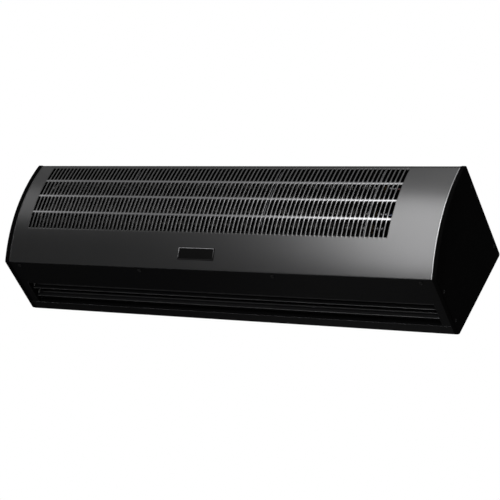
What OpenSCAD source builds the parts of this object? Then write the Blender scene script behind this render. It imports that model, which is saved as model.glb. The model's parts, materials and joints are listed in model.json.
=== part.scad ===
// Wall-hung electric air curtain, in millimetres.
// X runs along the casing, +Y points into the wall, +Z is up.
// The origin is the centre of the back face.

/* [Casing] */
// Overall length over both end caps
case_l = 1040; // [960:10:1200]
// Height of the end caps
case_h = 220; // [210:2:236]
// Depth at the top, from the wall to the front edge
top_d = 225; // [215:1:245]
// Depth at the underside
bottom_d = 139; // [132:1:150]
// How far the curved front stands out of its chord
front_bulge = 21.4; // [16:0.2:28]
// Thickness of the casing sheet
sheet = 1.2; // [0.8:0.1:1.6]
// Gap between pieces that are fastened side by side
fit = 0.3; // [0.2:0.05:0.4]
// Depth of the folded edges of the front panel
flange_d = 15; // [10:1:20]

/* [End caps] */
// Height of the cap rim over the sheets
cap_proud = 2; // [1.5:0.1:3]
// Thickness of the cap's outer wall
cap_wall = 2; // [1.5:0.1:3]
// Length of the rim, measured along the casing
cap_rim = 9; // [7:0.5:12]
// Stand-off bosses between the cap and the end plate
cap_boss_h = 2; // [1.5:0.1:3]
// Distance of the cap screws from the top and the underside
cap_screw_in = 9; // [8:0.5:14]
// Distance of the lower front cap screw from the front corner
cap_screw_low = 36; // [30:1:50]
// Distance of the upper front cap screw from the front edge
cap_screw_high = 45; // [40:1:60]
// Distance of the rear cap screws from the wall
cap_screw_rear = 30; // [24:1:40]

/* [Intake grille] */
// Width of one slot
slot_w = 6.5; // [4:0.1:8]
// Height of one slot, measured along the curve
slot_l = 33.6; // [26:0.2:36]
// Distance between neighbouring slots
slot_pitch = 10; // [9:0.1:14]
// Distance between rows, measured along the curve
row_pitch = 39.7; // [37:0.1:41]
// Number of rows
slot_rows = 4; // [2:1:4]
// Distance from the top edge to the first row
row_first = 8.6; // [6:0.2:14]
// Blank end of the panel at the left
blank_left = 48.4; // [30:0.2:80]
// Blank end of the panel at the right
blank_right = 110.1; // [90:0.2:150]

/* [Badge plate] */
// Width of the bare plate
badge_w = 87.5; // [60:0.5:110]
// Height of the bare plate
badge_h = 22.5; // [16:0.5:28]
// Thickness of the bare plate
badge_t = 1.6; // [1:0.1:2.5]
// Place of its centre along the casing
badge_x = -20; // [-60:1:60]
// Distance of its centre below the top edge, along the curve
badge_s = 205.6; // [195:0.2:212]

/* [Outlet] */
// Distance from the wall to the rear edge of the outlet
outlet_rear = 20; // [18:0.5:22]
// Width of the outlet opening
outlet_w = 57; // [54:0.5:60]
// Distance from the end of the casing to the outlet
outlet_end = 28; // [26:0.5:40]
// Height of the folded lips
lip_h = 14; // [10:0.5:14]
// Height of the ears that carry the vanes
ear_h = 28; // [26:0.5:30]

/* [Guide vanes] */
// Depth of one blade
vane_chord = 28; // [22:0.5:30]
// Thickness of one blade
vane_t = 3; // [2:0.1:3.5]
// Height of the pivots over the underside
vane_lift = 17.5; // [17:0.1:18.5]
// Distance from the front edge of the outlet to the first pivot
vane_first = 19; // [18:0.5:20]
// Distance between the two pivots
vane_pitch = 22.5; // [21:0.5:24]
// Radius of the pivot pins
vane_pin_r = 2.4; // [2:0.1:2.6]
// Gap between the blade ends and the bushes
vane_end_gap = 1; // [0.5:0.1:2]

/* [Roller fan] */
// Radius of the roller
rotor_r = 55; // [50:0.5:57]
// Radial depth of the blades
blade_d = 13; // [10:0.5:16]
// Thickness of a blade
blade_t = 1; // [0.8:0.1:1.4]
// Number of blades
blade_n = 30; // [20:1:36]
// Number of sections between rings
rotor_sections = 7; // [5:1:9]
// Thickness of the rings
ring_t = 2; // [1.5:0.1:3]
// Distance of the roller axis from the wall
axis_back = 100; // [98:0.5:103]
// Height of the roller axis over the middle of the case
axis_up = 15; // [12:0.5:18]
// Space between a roller end and its bulkhead
rotor_end_gap = 10; // [8:0.5:14]
// Space between roller and duct at the tightest place
duct_gap = 5; // [4:0.5:6]

/* [Motor bay] */
// Length of the bay at the right, which holds the motor
motor_bay = 167.5; // [160:0.5:190]

/* [Motor] */
// Radius of the motor
motor_r = 46; // [40:0.5:47]
// Length of the motor between its end faces
motor_l = 92; // [86:1:104]
// Wall of the end shields
shield_t = 2.5; // [2:0.1:3.5]
// Length of the laminated stator
stack_l = 36; // [30:1:44]
// Radius of the shaft
shaft_r = 4; // [3:0.25:5]
// Air gap between stator and motor rotor
air_gap = 0.5; // [0.3:0.1:1]
// Radius of the hubs of the end shields
hub_r = 14; // [13:0.5:15]
// Length of the hubs of the end shields
hub_l = 8; // [7:0.5:10]
// Wall of the rubber rings round the hubs
isolator_t = 6; // [4:0.5:7]
// Running clearance of a shaft in its bush, on the radius
run_fit = 0.05; // [0.02:0.01:0.1]

/* [Heater] */
// Radius of a heating rod
rod_r = 4; // [3:0.25:5]
// Radius of the fins
fin_r = 11; // [9:0.25:12]
// Thickness of a fin
fin_t = 0.8; // [0.6:0.1:1.2]
// Distance between fins
fin_pitch = 8; // [6:0.5:12]
// Distance of the rods behind the front panel
heater_set = 25; // [22:0.5:27]
// Distance between the two legs of a hairpin
leg_gap = 30; // [28:0.5:34]
// Distance of the first leg below the top edge, along the curve
heater_first = 34; // [32:0.5:38]

/* [Fasteners] */
// Radius of a screw shank
screw_r = 2; // [1.5:0.1:2.5]
// Radius of a screw head
screw_head_r = 3.8; // [3:0.1:4.2]
// Height of a screw head
screw_head_h = 1.8; // [1.2:0.1:1.9]
// Radius of the bores for the hanging rods
hanger_r = 4; // [3:0.25:5]
// Distance from the end of the casing to a hanging bore
hanger_end = 70; // [64:1:90]
// Distance between the hanging points across the casing
hanger_y = 120; // [100:2:124]
// Radius of the entry of a keyhole
key_r = 8; // [6:0.5:9]
// Half the width of the neck of a keyhole
key_neck_r = 3.5; // [2.5:0.25:4]
// Distance from the end of the casing to a keyhole
key_end = 120; // [100:1:200]
// Height of the keyholes over the middle of the case
key_z = 70; // [60:1:74]

/* [Electrical] */
// Radius of the cable passage in the grommet
entry_r = 5; // [3:0.25:6]
// Radius of the running capacitor
cap_can_r = 14; // [12:0.5:15]
// Length of the running capacitor
cap_can_l = 56; // [46:1:60]
// Travel of the reset button
reset_travel = 2; // [1:0.25:2.5]
// Radius of the internal wires
wire_r = 1.4; // [1:0.1:1.8]

/* [Hidden] */
$fn = 48;
ARC_FN = 360;

// ---- section of the casing ----
far = 1000;
press = 0.02;
snug = 0.05;
screw_hole_r = screw_r + 0.1;
head_hole_r = screw_head_r + 0.2;
chord_run = top_d - bottom_d;
chord_l = sqrt(chord_run * chord_run + case_h * case_h);
arc_r = (chord_l * chord_l / 4 + front_bulge * front_bulge) / (2 * front_bulge);
arc_y = -(top_d + bottom_d) / 2 + case_h / chord_l * (arc_r - front_bulge);
arc_z = chord_run / chord_l * (arc_r - front_bulge);
panel_r = arc_r - cap_proud;
panel_in_r = panel_r - sheet;
sheet_z = case_h / 2 - cap_proud;
inner_z = sheet_z - sheet;
flange_z = inner_z - sheet;
edge_angle = asin((sheet_z - arc_z) / panel_r);
function front_y(z, r) = arc_y - sqrt(r * r - (z - arc_z) * (z - arc_z));
function curve_angle(s) = edge_angle - s / panel_r * 180 / PI;

// ---- places along the casing ----
half_l = case_l / 2;
body_x = half_l - cap_wall - cap_boss_h;
rim_x = half_l - cap_rim;
end_plate_in = body_x - sheet;
outlet_x = half_l - outlet_end;
ear_out = outlet_x + sheet;
bulk_l = -ear_out - fit;
bulk_r = half_l - motor_bay;
panel_flange_x = end_plate_in - flange_d;
rotor_x0 = bulk_l + rotor_end_gap;
rotor_x1 = bulk_r - rotor_end_gap;
rotor_l = rotor_x1 - rotor_x0;

// ---- outlet ----
outlet_y1 = -outlet_rear;
outlet_y0 = -outlet_rear - outlet_w;
vane_y1 = outlet_y0 + vane_first;
vane_y2 = vane_y1 + vane_pitch;
vane_z = -sheet_z + vane_lift;
bush_wall = 2;
bush_r = vane_pin_r + bush_wall;
bush_flange_r = bush_r + 1.6;
bush_flange_t = 1.5;
bush_out = 3;
vane_end = outlet_x - bush_flange_t - vane_end_gap;

// ---- fan axis ----
axis_y = -axis_back;
axis_z = axis_up;

function rev(a) = [for (i = [len(a) - 1:-1:0]) a[i]];
function unit(v) = v / norm(v);
function normal2(p, i) = let (
  a = p[max(i - 1, 0)], b = p[min(i + 1, len(p) - 1)], d = unit(b - a)) [-d[1], d[0]];
// A band of thickness t to the left of an open line of points
function band(p, t) = concat(p, rev([for (i = [0:len(p) - 1]) p[i] + t * normal2(p, i)]));

// Extrudes a drawing in (Y, Z) from x0 to x1
module along(x0, x1) {
  translate([x0, 0, 0]) rotate([90, 0, 90]) linear_extrude(x1 - x0) children();
}

// Turns a drawing of (radius, distance) round the fan axis, from x onwards
module spin(x) {
  translate([x, axis_y, axis_z]) rotate([0, 90, 0]) rotate_extrude($fn = 64) children();
}

// Cylinder along X
module rod_x(x0, x1, y, z, r) {
  translate([x0, y, z]) rotate([0, 90, 0]) cylinder(h = x1 - x0, r = r);
}

// Cylinder along Z
module rod_z(x, y, z0, z1, r) {
  translate([x, y, z0]) cylinder(h = z1 - z0, r = r);
}

// Block between two corners
module block(a, b) {
  translate(a) cube(b - a);
}

// Outline of the casing: inset from the curve, from top and underside, and from the wall
module outline(curve_in, level_in, wall_in) {
  intersection() {
    translate([arc_y, arc_z]) circle(r = arc_r - curve_in, $fn = ARC_FN);
    translate([-far, -case_h / 2 + level_in]) square([far - wall_in, case_h - 2 * level_in]);
  }
}

// Band of the curved front between two radii and two heights
module front_band(r_out, r_in, z0, z1) {
  intersection() {
    difference() {
      translate([arc_y, arc_z]) circle(r = r_out, $fn = ARC_FN);
      translate([arc_y, arc_z]) circle(r = r_in, $fn = ARC_FN);
    }
    translate([-far, z0]) square([far, z1 - z0]);
  }
}

// Sheet on one level that starts inside the front panel and ends at y1
module front_flange(y1, z) {
  intersection() {
    translate([arc_y, arc_z]) circle(r = panel_r - sheet / 2, $fn = ARC_FN);
    translate([-far, z]) square([far + y1, sheet]);
  }
}

// Places children on the curved front, s below the top edge, with -Y as the way out
module on_front(s) {
  translate([0, arc_y, arc_z]) rotate([-curve_angle(s), 0, 0]) children();
}

// ---- casing ----
black = "#161616";
grey = "#505254";
zinc = "#9a9fa3";
top_front_y = max(front_y(inner_z, panel_in_r), front_y(sheet_z, panel_in_r)) + fit;
plate_front_y = front_y(-sheet_z, panel_in_r) + fit;
hanger_mid_y = -top_d / 2;
nut_wall = 1.5;
nut_body_r = hanger_r + nut_wall;
nut_flange_w = 1.8;
nut_bulge_w = 0.8;
nut_bulge_h = 3;
nut_l = 14;
nut_flange_t = 0.8;
bay_x0 = bulk_r + sheet;
bay_x1 = panel_flange_x - fit;
entry_in = 24;
entry_x = bay_x1 - entry_in;
entry_y = -45;
grommet_neck = 2;
entry_hole_r = entry_r + grommet_neck;
cutout_in = 32;
cutout_x = bay_x0 + cutout_in;
cutout_y = -165;
button_r = 3;
button_gap = 0.4;

module at_hangers() {
  for (x = [-1, 1], y = [-1, 1]) {
    translate([x * (half_l - hanger_end), hanger_mid_y + y * hanger_y / 2, 0]) children();
  }
}

module keyhole() {
  rotate([90, 0, 0]) {
    translate([0, 0, -1]) cylinder(h = sheet + 2, r = key_r);
    translate([0, key_r + 2 * key_neck_r, -1]) cylinder(h = sheet + 2, r = key_neck_r);
    translate([-key_neck_r, 0, -1]) cube([2 * key_neck_r, key_r + 2 * key_neck_r, sheet + 2]);
  }
}

module rear_housing() {
  color(black) difference() {
    union() {
      along(-body_x, body_x) {
        translate([-sheet, -sheet_z]) square([sheet, 2 * sheet_z]);
        translate([top_front_y, inner_z]) square([-top_front_y, sheet]);
        translate([outlet_y1, -sheet_z]) square([outlet_rear, sheet]);
      }
      along(-outlet_x, outlet_x) translate([outlet_y1, -sheet_z]) square([sheet, lip_h]);
    }
    for (x = [-1, 1]) translate([x * (half_l - key_end), 0, key_z]) keyhole();
    at_hangers() translate([0, 0, inner_z - 1]) cylinder(h = sheet + 2, r = nut_body_r + snug);
    rod_z(entry_x, entry_y, inner_z - 1, sheet_z + 1, entry_hole_r);
    rod_z(cutout_x, cutout_y, inner_z - 1, sheet_z + 1, button_r + button_gap);
  }
}

module slot_row() {
  count = floor((case_l - blank_left - blank_right + slot_pitch - slot_w) / slot_pitch);
  translate([-half_l + blank_left, -panel_in_r + 1, 0]) rotate([90, 0, 0])
    linear_extrude(sheet + 3)
      for (i = [0:count - 1]) translate([i * slot_pitch, -slot_l / 2]) square([slot_w, slot_l]);
}

panel_screw_y = plate_front_y + flange_d / 2;
panel_screw_x = [for (i = [-3:2:3]) i / 3 * (bay_x1 - flange_d)];

module front_panel() {
  color(grey) difference() {
    union() {
      along(-body_x, body_x) front_band(panel_r, panel_in_r, -sheet_z, sheet_z);
      along(-bay_x1, bay_x1) {
        front_flange(front_y(inner_z, panel_in_r) + flange_d, flange_z);
        front_flange(plate_front_y + flange_d, -inner_z);
      }
    }
    for (k = [0:slot_rows - 1]) on_front(row_first + slot_l / 2 + k * row_pitch) slot_row();
    for (x = panel_screw_x) rod_z(x, panel_screw_y, -case_h / 2, -flange_z + 1, screw_hole_r);
  }
}

module outlet_plate() {
  color(black) difference() {
    union() {
      along(-body_x, body_x) translate([plate_front_y, -sheet_z])
        square([outlet_y1 - fit - plate_front_y, sheet]);
      along(-outlet_x, outlet_x) translate([outlet_y0 - sheet, -sheet_z]) square([sheet, lip_h]);
      for (x = [-ear_out, outlet_x])
        block([x, outlet_y0 - sheet, -sheet_z], [x + sheet, outlet_y1 - fit, -sheet_z + ear_h]);
    }
    block([-outlet_x, outlet_y0, -case_h], [outlet_x, 0, -inner_z + 1]);
    for (y = [vane_y1, vane_y2]) rod_x(-half_l, half_l, y, vane_z, bush_r + snug);
    for (x = panel_screw_x) rod_z(x, panel_screw_y, -case_h / 2, -inner_z + 1, screw_hole_r);
  }
}

// ---- end plates and caps ----
cap_screw_yz = [
  [cap_screw_low - bottom_d, cap_screw_in - case_h / 2],
  [-cap_screw_rear, cap_screw_in - case_h / 2],
  [cap_screw_high - top_d, case_h / 2 - cap_screw_in],
  [-cap_screw_rear, case_h / 2 - cap_screw_in]];
boss_wall = 1.4;
boss_r = screw_head_r + boss_wall;

module end_plate() {
  color(zinc) difference() {
    union() {
      along(end_plate_in, body_x) outline(cap_proud + sheet + fit, cap_proud + sheet + fit, sheet + fit);
      along(end_plate_in - flange_d, end_plate_in) difference() {
        outline(cap_proud + sheet + fit, cap_proud + sheet + fit, sheet + fit);
        outline(cap_proud + 2 * sheet + fit, cap_proud + 2 * sheet + fit, 2 * sheet + fit);
      }
    }
    for (p = cap_screw_yz) rod_x(bulk_r, half_l, p[0], p[1], screw_hole_r);
  }
}

module end_cap() {
  color(black) difference() {
    union() {
      along(half_l - cap_wall, half_l) outline(0, 0, 0);
      along(rim_x, half_l - cap_wall) difference() {
        outline(0, 0, 0);
        outline(cap_proud - fit, cap_proud - fit, -1);
      }
      for (p = cap_screw_yz) rod_x(body_x, half_l - cap_wall / 2, p[0], p[1], boss_r);
    }
    for (p = cap_screw_yz) {
      rod_x(bulk_r, half_l + 1, p[0], p[1], screw_hole_r);
      rod_x(half_l - screw_head_h, half_l + 1, p[0], p[1], head_hole_r);
    }
  }
}

module left_end_plate() { mirror([1, 0, 0]) end_plate(); }
module right_end_plate() { end_plate(); }
module left_end_cap() { mirror([1, 0, 0]) end_cap(); }
module right_end_cap() { end_cap(); }

module badge_plate() {
  color("#0c0c0c") on_front(badge_s) rotate([90, 0, 90]) translate([0, 0, badge_x - badge_w / 2])
    linear_extrude(badge_w) intersection() {
      difference() {
        circle(r = panel_r + press + badge_t, $fn = ARC_FN);
        circle(r = panel_r + press, $fn = ARC_FN);
      }
      translate([-panel_r - 2 * badge_t, -badge_h / 2]) square([2 * panel_r, badge_h]);
    }
}

// ---- bulkheads and duct ----
grommet_r = 18;
shaft_hole_gap = 3;
shaft_hole_r = hub_r + shaft_hole_gap;
fitting_wall = 2.4;
fitting_r = rod_r + fitting_wall;
fitting_out = 4;
fitting_flange_t = 3;
fitting_flange_r = fitting_r + 3;
bush_hole_gap = 0.5;
floor_gap = 3;
floor_z = vane_z + vane_chord / 2 + floor_gap;
floor_y0 = outlet_y0 - 2 * sheet - fit;
floor_y1 = outlet_y1 + 2 * sheet + fit;
heater_r = panel_in_r - heater_set;
leg_run = sqrt(heater_r * heater_r - leg_gap * leg_gap / 4);
function heater_angle(k) =
  edge_angle - (heater_first + leg_gap / 2 + k * 2 * leg_gap) / heater_r * 180 / PI;
function leg_yz(k, h) = let (a = heater_angle(k)) [
  arc_y - leg_run * cos(a) + h * leg_gap / 2 * sin(a),
  arc_z + leg_run * sin(a) + h * leg_gap / 2 * cos(a)];
legs = [for (k = [0, 1], h = [1, -1]) leg_yz(k, h)];

module bulkhead_sheet(x0, x1, foot_x) {
  along(x0, x1) outline(cap_proud + sheet + fit, cap_proud + 2 * sheet + fit, sheet + fit);
  block([foot_x, -2 * sheet - fit, -key_z], [foot_x + flange_d, -sheet - fit, key_z / 2]);
  block([foot_x, -axis_back + flange_d, flange_z - fit], [foot_x + flange_d, -flange_d, inner_z]);
}

module bearing_bulkhead() {
  color(zinc) difference() {
    bulkhead_sheet(bulk_l - sheet, bulk_l, bulk_l - sheet / 2);
    rod_x(-half_l, rotor_x0, axis_y, axis_z, grommet_r);
    for (y = [vane_y1, vane_y2]) rod_x(-half_l, rotor_x0, y, vane_z, bush_r + bush_hole_gap);
  }
}

module motor_bulkhead() {
  color(zinc) difference() {
    bulkhead_sheet(bulk_r, bay_x0, bay_x0 - sheet / 2 - flange_d);
    rod_x(rotor_x1, half_l, axis_y, axis_z, shaft_hole_r);
    for (p = legs) rod_x(bulk_r - 1, bay_x0 + 1, p[0], p[1], fitting_r + snug);
    for (p = cradle_screw_yz) rod_x(bulk_r - 1, bay_x0 + 1, p[0], p[1], screw_hole_r);
    block([bulk_r - 1, floor_y0 - fit, -case_h], [bay_x0 + 1, floor_y1 + fit, floor_z + sheet + fit]);
  }
}

module bay_floor() {
  color(zinc) {
    along(bay_x0 + fit, bay_x1) {
      translate([floor_y0, floor_z]) square([floor_y1 - floor_y0, sheet]);
      translate([floor_y0, -inner_z]) square([sheet, inner_z + floor_z + sheet]);
      translate([floor_y1 - sheet, -inner_z]) square([sheet, inner_z + floor_z + sheet]);
    }
  }
}

// The scroll's wall winds in from the outlet to the top of the roller
scroll_a0 = -38;
scroll_a1 = 100;
scroll_grow = 16;
scroll_steps = 12;
lip_clear = 2;
function scroll_pt(a) = let (
  r = rotor_r + duct_gap + sheet + scroll_grow * (scroll_a1 - a) / (scroll_a1 - scroll_a0))
  [axis_y + r * cos(a), axis_z + r * sin(a)];
scroll_line = concat(
  [for (z = [-inner_z + lip_clear, -sheet_z + lip_h + lip_clear]) [outlet_y1 + 2 * sheet, z]],
  [for (i = [0:scroll_steps])
    scroll_pt(scroll_a0 + (scroll_a1 - scroll_a0) * i / scroll_steps)]);
scroll_top = scroll_pt(scroll_a1);

module scroll() {
  color("#2a2a2b") along(-outlet_x + fit, bulk_r - fit) {
    polygon(band(scroll_line, sheet));
    translate([scroll_top[0] - sheet / 2, scroll_top[1] - sheet])
      square([sheet, inner_z - scroll_top[1] + sheet]);
    translate([scroll_top[0] - flange_d, flange_z]) square([flange_d, sheet]);
  }
}

// The tongue runs up from the front lip, hugs the roller and closes off the front
tongue_a0 = -100;
tongue_a1 = -140;
tongue_steps = 4;
baffle_s = row_first + 4 * row_pitch - 2;
baffle_z = arc_z + panel_in_r * sin(curve_angle(baffle_s));
tongue_line = concat(
  [for (z = [-inner_z + lip_clear, -sheet_z + lip_h + lip_clear]) [outlet_y0 - sheet, z]],
  [for (i = [0:tongue_steps]) let (a = tongue_a0 + (tongue_a1 - tongue_a0) * i / tongue_steps)
    [axis_y + (rotor_r + duct_gap) * cos(a), axis_z + (rotor_r + duct_gap) * sin(a)]],
  [[front_y(baffle_z, panel_in_r) + sheet + fit, baffle_z]]);

module tongue() {
  color("#2a2a2b") along(-outlet_x + fit, bulk_r - fit) polygon(band(tongue_line, sheet));
}

// ---- guide vanes ----
vane_tube_wall = 1.1;
vane_pin_in = 20;
module vane(y) {
  lens_r = (vane_chord * vane_chord / 4 + vane_t * vane_t / 4) / vane_t;
  tube_r = vane_pin_r + vane_tube_wall;
  color("#242425") along(-vane_end, vane_end) translate([y, vane_z]) difference() {
    union() {
      intersection() {
        translate([lens_r - vane_t / 2, 0]) circle(r = lens_r, $fn = ARC_FN);
        translate([-lens_r + vane_t / 2, 0]) circle(r = lens_r, $fn = ARC_FN);
      }
      circle(r = tube_r);
      for (s = [-1, 1]) translate([0, s * (vane_chord / 2 - 1)]) circle(r = vane_t / 4);
    }
    circle(r = vane_pin_r + press);
  }
}

module vane_pins(y) {
  color("silver") for (s = [0, 1]) mirror([s, 0, 0])
    rod_x(vane_end - vane_pin_in, ear_out + bush_out - fit, y, vane_z, vane_pin_r);
}

module vane_front() { vane(vane_y1); }
module vane_rear() { vane(vane_y2); }
module vane_front_pins() { vane_pins(vane_y1); }
module vane_rear_pins() { vane_pins(vane_y2); }

module vane_bushes() {
  color("ivory") for (s = [0, 1], y = [vane_y1, vane_y2]) mirror([s, 0, 0])
    translate([outlet_x, y, vane_z]) rotate([0, 90, 0]) rotate_extrude($fn = 64) {
      translate([vane_pin_r + run_fit, -bush_flange_t])
        square([bush_flange_r - vane_pin_r - run_fit, bush_flange_t]);
      translate([vane_pin_r + run_fit, -bush_flange_t])
        square([bush_r - vane_pin_r - run_fit, bush_flange_t + sheet + bush_out]);
    }
}

// ---- roller fan ----
hub_flange_r = 20;
hub_flange_t = 3;
spigot_wall = 4;
spigot_r = shaft_r + spigot_wall;
hub_neck_r = spigot_r + 3;
spigot_l = 16;
blade_sweep = 16;
blade_steps = 4;
rim_cover = 0.5;
inner_rim = 2;
function blade_pt(t) = let (
  r = rotor_r - blade_d + (blade_d - rim_cover) * t, a = blade_sweep * t * t) r * [cos(a), sin(a)];
blade_line = [for (i = [0:blade_steps]) blade_pt(i / blade_steps)];

module ring(x, r_in) {
  spin(x) translate([r_in, 0]) square([rotor_r - r_in, ring_t]);
}

module impeller() {
  color("#3a3b3d") {
    along(rotor_x0, rotor_x1) translate([axis_y, axis_z])
      for (i = [0:blade_n - 1]) rotate(i * 360 / blade_n) polygon(band(blade_line, blade_t));
    for (i = [1:rotor_sections - 1])
      ring(rotor_x0 + i * rotor_l / rotor_sections - ring_t / 2, rotor_r - blade_d - inner_rim);
    for (x = [rotor_x0, rotor_x1 - ring_t]) ring(x, spigot_r + press);
  }
}

module drive_hub() {
  color("#6b6e70") spin(rotor_x1 - spigot_l) {
    translate([shaft_r + press, 0]) square([spigot_r - shaft_r - press, spigot_l]);
    translate([shaft_r + press, spigot_l]) square([hub_flange_r - shaft_r - press, hub_flange_t]);
    translate([shaft_r + press, spigot_l]) square([hub_neck_r - shaft_r - press, rotor_end_gap - 1]);
  }
}

bearing_w = 7;
bearing_mid = bulk_l - sheet / 2;
bearing_out_r = 11;
race_out_r = 9.2;
race_in_r = 5.9;
ball_r = (race_out_r - race_in_r) / 2 - run_fit;
stub_r = 4;
stub_out = 1;
stub_reach = rotor_x0 - bearing_mid + bearing_w / 2 + stub_out;
balls = 7;

module idle_stub() {
  color("silver") spin(bearing_mid - bearing_w / 2 - stub_out) {
    square([stub_r, stub_reach + ring_t]);
    translate([0, stub_reach - hub_flange_t]) square([hub_flange_r, hub_flange_t]);
    translate([0, stub_reach - hub_flange_t]) square([spigot_r, hub_flange_t + 2 * ring_t]);
  }
}

module bearing_inner_race() {
  color("silver") spin(bearing_mid - bearing_w / 2)
    translate([stub_r + press, 0]) square([race_in_r - stub_r - press, bearing_w]);
}

module bearing_outer_race() {
  color("silver") spin(bearing_mid - bearing_w / 2)
    translate([race_out_r, 0]) square([bearing_out_r - race_out_r, bearing_w]);
}

module bearing_balls() {
  color("white") for (i = [0:balls - 1])
    translate([bearing_mid, axis_y, axis_z]) rotate([i * 360 / balls, 0, 0])
    translate([0, (race_out_r + race_in_r) / 2, 0]) sphere(r = ball_r, $fn = 32);
}

bearing_grommet_w = 9;
bearing_grommet_lip = 3;
module bearing_grommet() {
  color("#1d1d1d") spin(bearing_mid) difference() {
    translate([bearing_out_r + press, -bearing_grommet_w / 2])
      square([grommet_r + bearing_grommet_lip - bearing_out_r, bearing_grommet_w]);
    translate([grommet_r - snug, -sheet / 2 - snug]) square([far, sheet + 2 * snug]);
  }
}

// ---- motor ----
motor_in = 18;
motor_x0 = bay_x0 + motor_in;
motor_x1 = motor_x0 + motor_l;
stack_x0 = motor_x0 + (motor_l - stack_l) / 2;
stack_x1 = stack_x0 + stack_l;
motor_bush_r = shaft_r + 3;
stator_d = 19.3;
stack_in_r = motor_r - stator_d;
motor_bolt_r = 2;
motor_bolt_hole_r = motor_bolt_r + 0.1;
motor_bolt_head_r = motor_bolt_r + 1.6;
motor_bolt_head_h = 2.4;
motor_bolt_in = 2.6;
motor_bolts_n = 4;
bolt_ring = motor_r - shield_t - motor_bolt_in;
vent_n = 8;
vent_r = 4;
winding_l = 12;
winding_gap = 2;
rotor_over = 2;
cheek_t = 2;
cheek_r = hub_r + isolator_t;
cradle_gap = 10;
cheek_edge = 7;
cradle_z = axis_z - motor_r - cradle_gap;
cradle_w = 72;
cradle_drop = 18;
cradle_screw_end = 4;
cradle_screw_yz = [for (s = [-1, 1]) [axis_y + s * cradle_w / 3, cradle_z - cradle_drop / 2]];

module mirror_motor() {
  translate([motor_x0 + motor_x1, 0, 0]) mirror([1, 0, 0]) children();
}

module at_motor_bolts() {
  for (i = [0:motor_bolts_n - 1]) rotate((i + 0.5) * 360 / motor_bolts_n)
    translate([bolt_ring, 0, 0]) children();
}

module shield() {
  difference() {
    spin(motor_x0) {
      translate([motor_bush_r, -hub_l]) square([hub_r - motor_bush_r, hub_l + shield_t]);
      translate([motor_bush_r, 0]) square([motor_r - motor_bush_r, shield_t]);
      translate([motor_r - shield_t, 0]) square([shield_t, stack_x0 - motor_x0]);
    }
    translate([motor_x0, axis_y, axis_z]) rotate([0, 90, 0]) {
      at_motor_bolts() translate([0, 0, -1]) cylinder(h = shield_t + 2, r = motor_bolt_hole_r);
      for (i = [0:vent_n - 1]) rotate((i + 0.5) * 360 / vent_n)
        translate([(hub_r + bolt_ring) / 2, 0, -1]) cylinder(h = shield_t + 2, r = vent_r);
    }
  }
}

module motor_shield_front() { color("#8b8e90") shield(); }
module motor_shield_rear() { color("#8b8e90") mirror_motor() shield(); }

module stator_core() {
  color("#55585a") difference() {
    spin(stack_x0) translate([stack_in_r, 0]) square([motor_r - stack_in_r, stack_l]);
    translate([stack_x0 - 1, axis_y, axis_z]) rotate([0, 90, 0])
      at_motor_bolts() cylinder(h = stack_l + 2, r = motor_bolt_hole_r);
  }
}

module winding() {
  spin(stack_x0 - winding_l) translate([stack_in_r + winding_gap, 0])
    square([bolt_ring - motor_bolt_r - stack_in_r - 2 * winding_gap, winding_l]);
}

module stator_windings() {
  color("#a8552a") {
    winding();
    mirror_motor() winding();
  }
}

module motor_bush() {
  spin(motor_x0 - hub_l + 1) translate([shaft_r + run_fit, 0])
    square([motor_bush_r - shaft_r - run_fit - press, hub_l + shield_t - 1]);
}

module motor_bushes() {
  color("#b08d57") {
    motor_bush();
    mirror_motor() motor_bush();
  }
}

module isolator() {
  spin(motor_x0 - hub_l) translate([hub_r + press, 0]) square([isolator_t - press, hub_l - fit]);
}

module motor_isolators() {
  color("#1d1d1d") {
    isolator();
    mirror_motor() isolator();
  }
}

module motor_bolts() {
  color("silver") translate([motor_x0, axis_y, axis_z]) rotate([0, 90, 0])
    at_motor_bolts() {
      cylinder(h = motor_l, r = motor_bolt_r);
      for (z = [-motor_bolt_head_h, motor_l])
        translate([0, 0, z]) cylinder(h = motor_bolt_head_h, r = motor_bolt_head_r);
    }
}

module motor_rotor() {
  color("#77797b") spin(stack_x0 - rotor_over) translate([shaft_r + press, 0])
    square([stack_in_r - air_gap - shaft_r - press, stack_l + 2 * rotor_over]);
}

module motor_shaft() {
  color("silver") rod_x(rotor_x1 - spigot_l + 2, motor_x1 + hub_l + 2, axis_y, axis_z, shaft_r);
}

module cheek() {
  x = motor_x0 - hub_l / 2;
  along(x - cheek_t / 2, x + cheek_t / 2) difference() {
    union() {
      translate([axis_y, axis_z]) circle(r = cheek_r + cheek_edge);
      translate([axis_y - cheek_r - cheek_edge, cradle_z])
        square([2 * (cheek_r + cheek_edge), axis_z - cradle_z]);
    }
    translate([axis_y, axis_z]) circle(r = cheek_r + snug);
  }
}

module motor_cradle() {
  leg_x = motor_x1 + hub_l / 2 - cheek_t / 2;
  color(zinc) difference() {
    union() {
      block([bay_x0, axis_y - cradle_w / 2, cradle_z],
            [leg_x + cheek_t, axis_y + cradle_w / 2, cradle_z + cheek_t]);
      block([bay_x0, axis_y - cradle_w / 2, cradle_z - cradle_drop],
            [bay_x0 + cheek_t, axis_y + cradle_w / 2, cradle_z + cheek_t]);
      block([leg_x, floor_y0, floor_z + sheet],
            [leg_x + cheek_t, axis_y + cradle_w / 2, cradle_z + cheek_t]);
      cheek();
      mirror_motor() cheek();
    }
    for (p = cradle_screw_yz) rod_x(bay_x0 - 1, bay_x0 + cheek_t + 1, p[0], p[1], screw_hole_r);
  }
}

module cradle_screws() {
  color("silver") for (p = cradle_screw_yz) {
    rod_x(bulk_r - cradle_screw_end, bay_x0 + cheek_t + screw_head_h / 2, p[0], p[1], screw_r);
    rod_x(bay_x0 + cheek_t, bay_x0 + cheek_t + screw_head_h, p[0], p[1], screw_head_r);
  }
}

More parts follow.
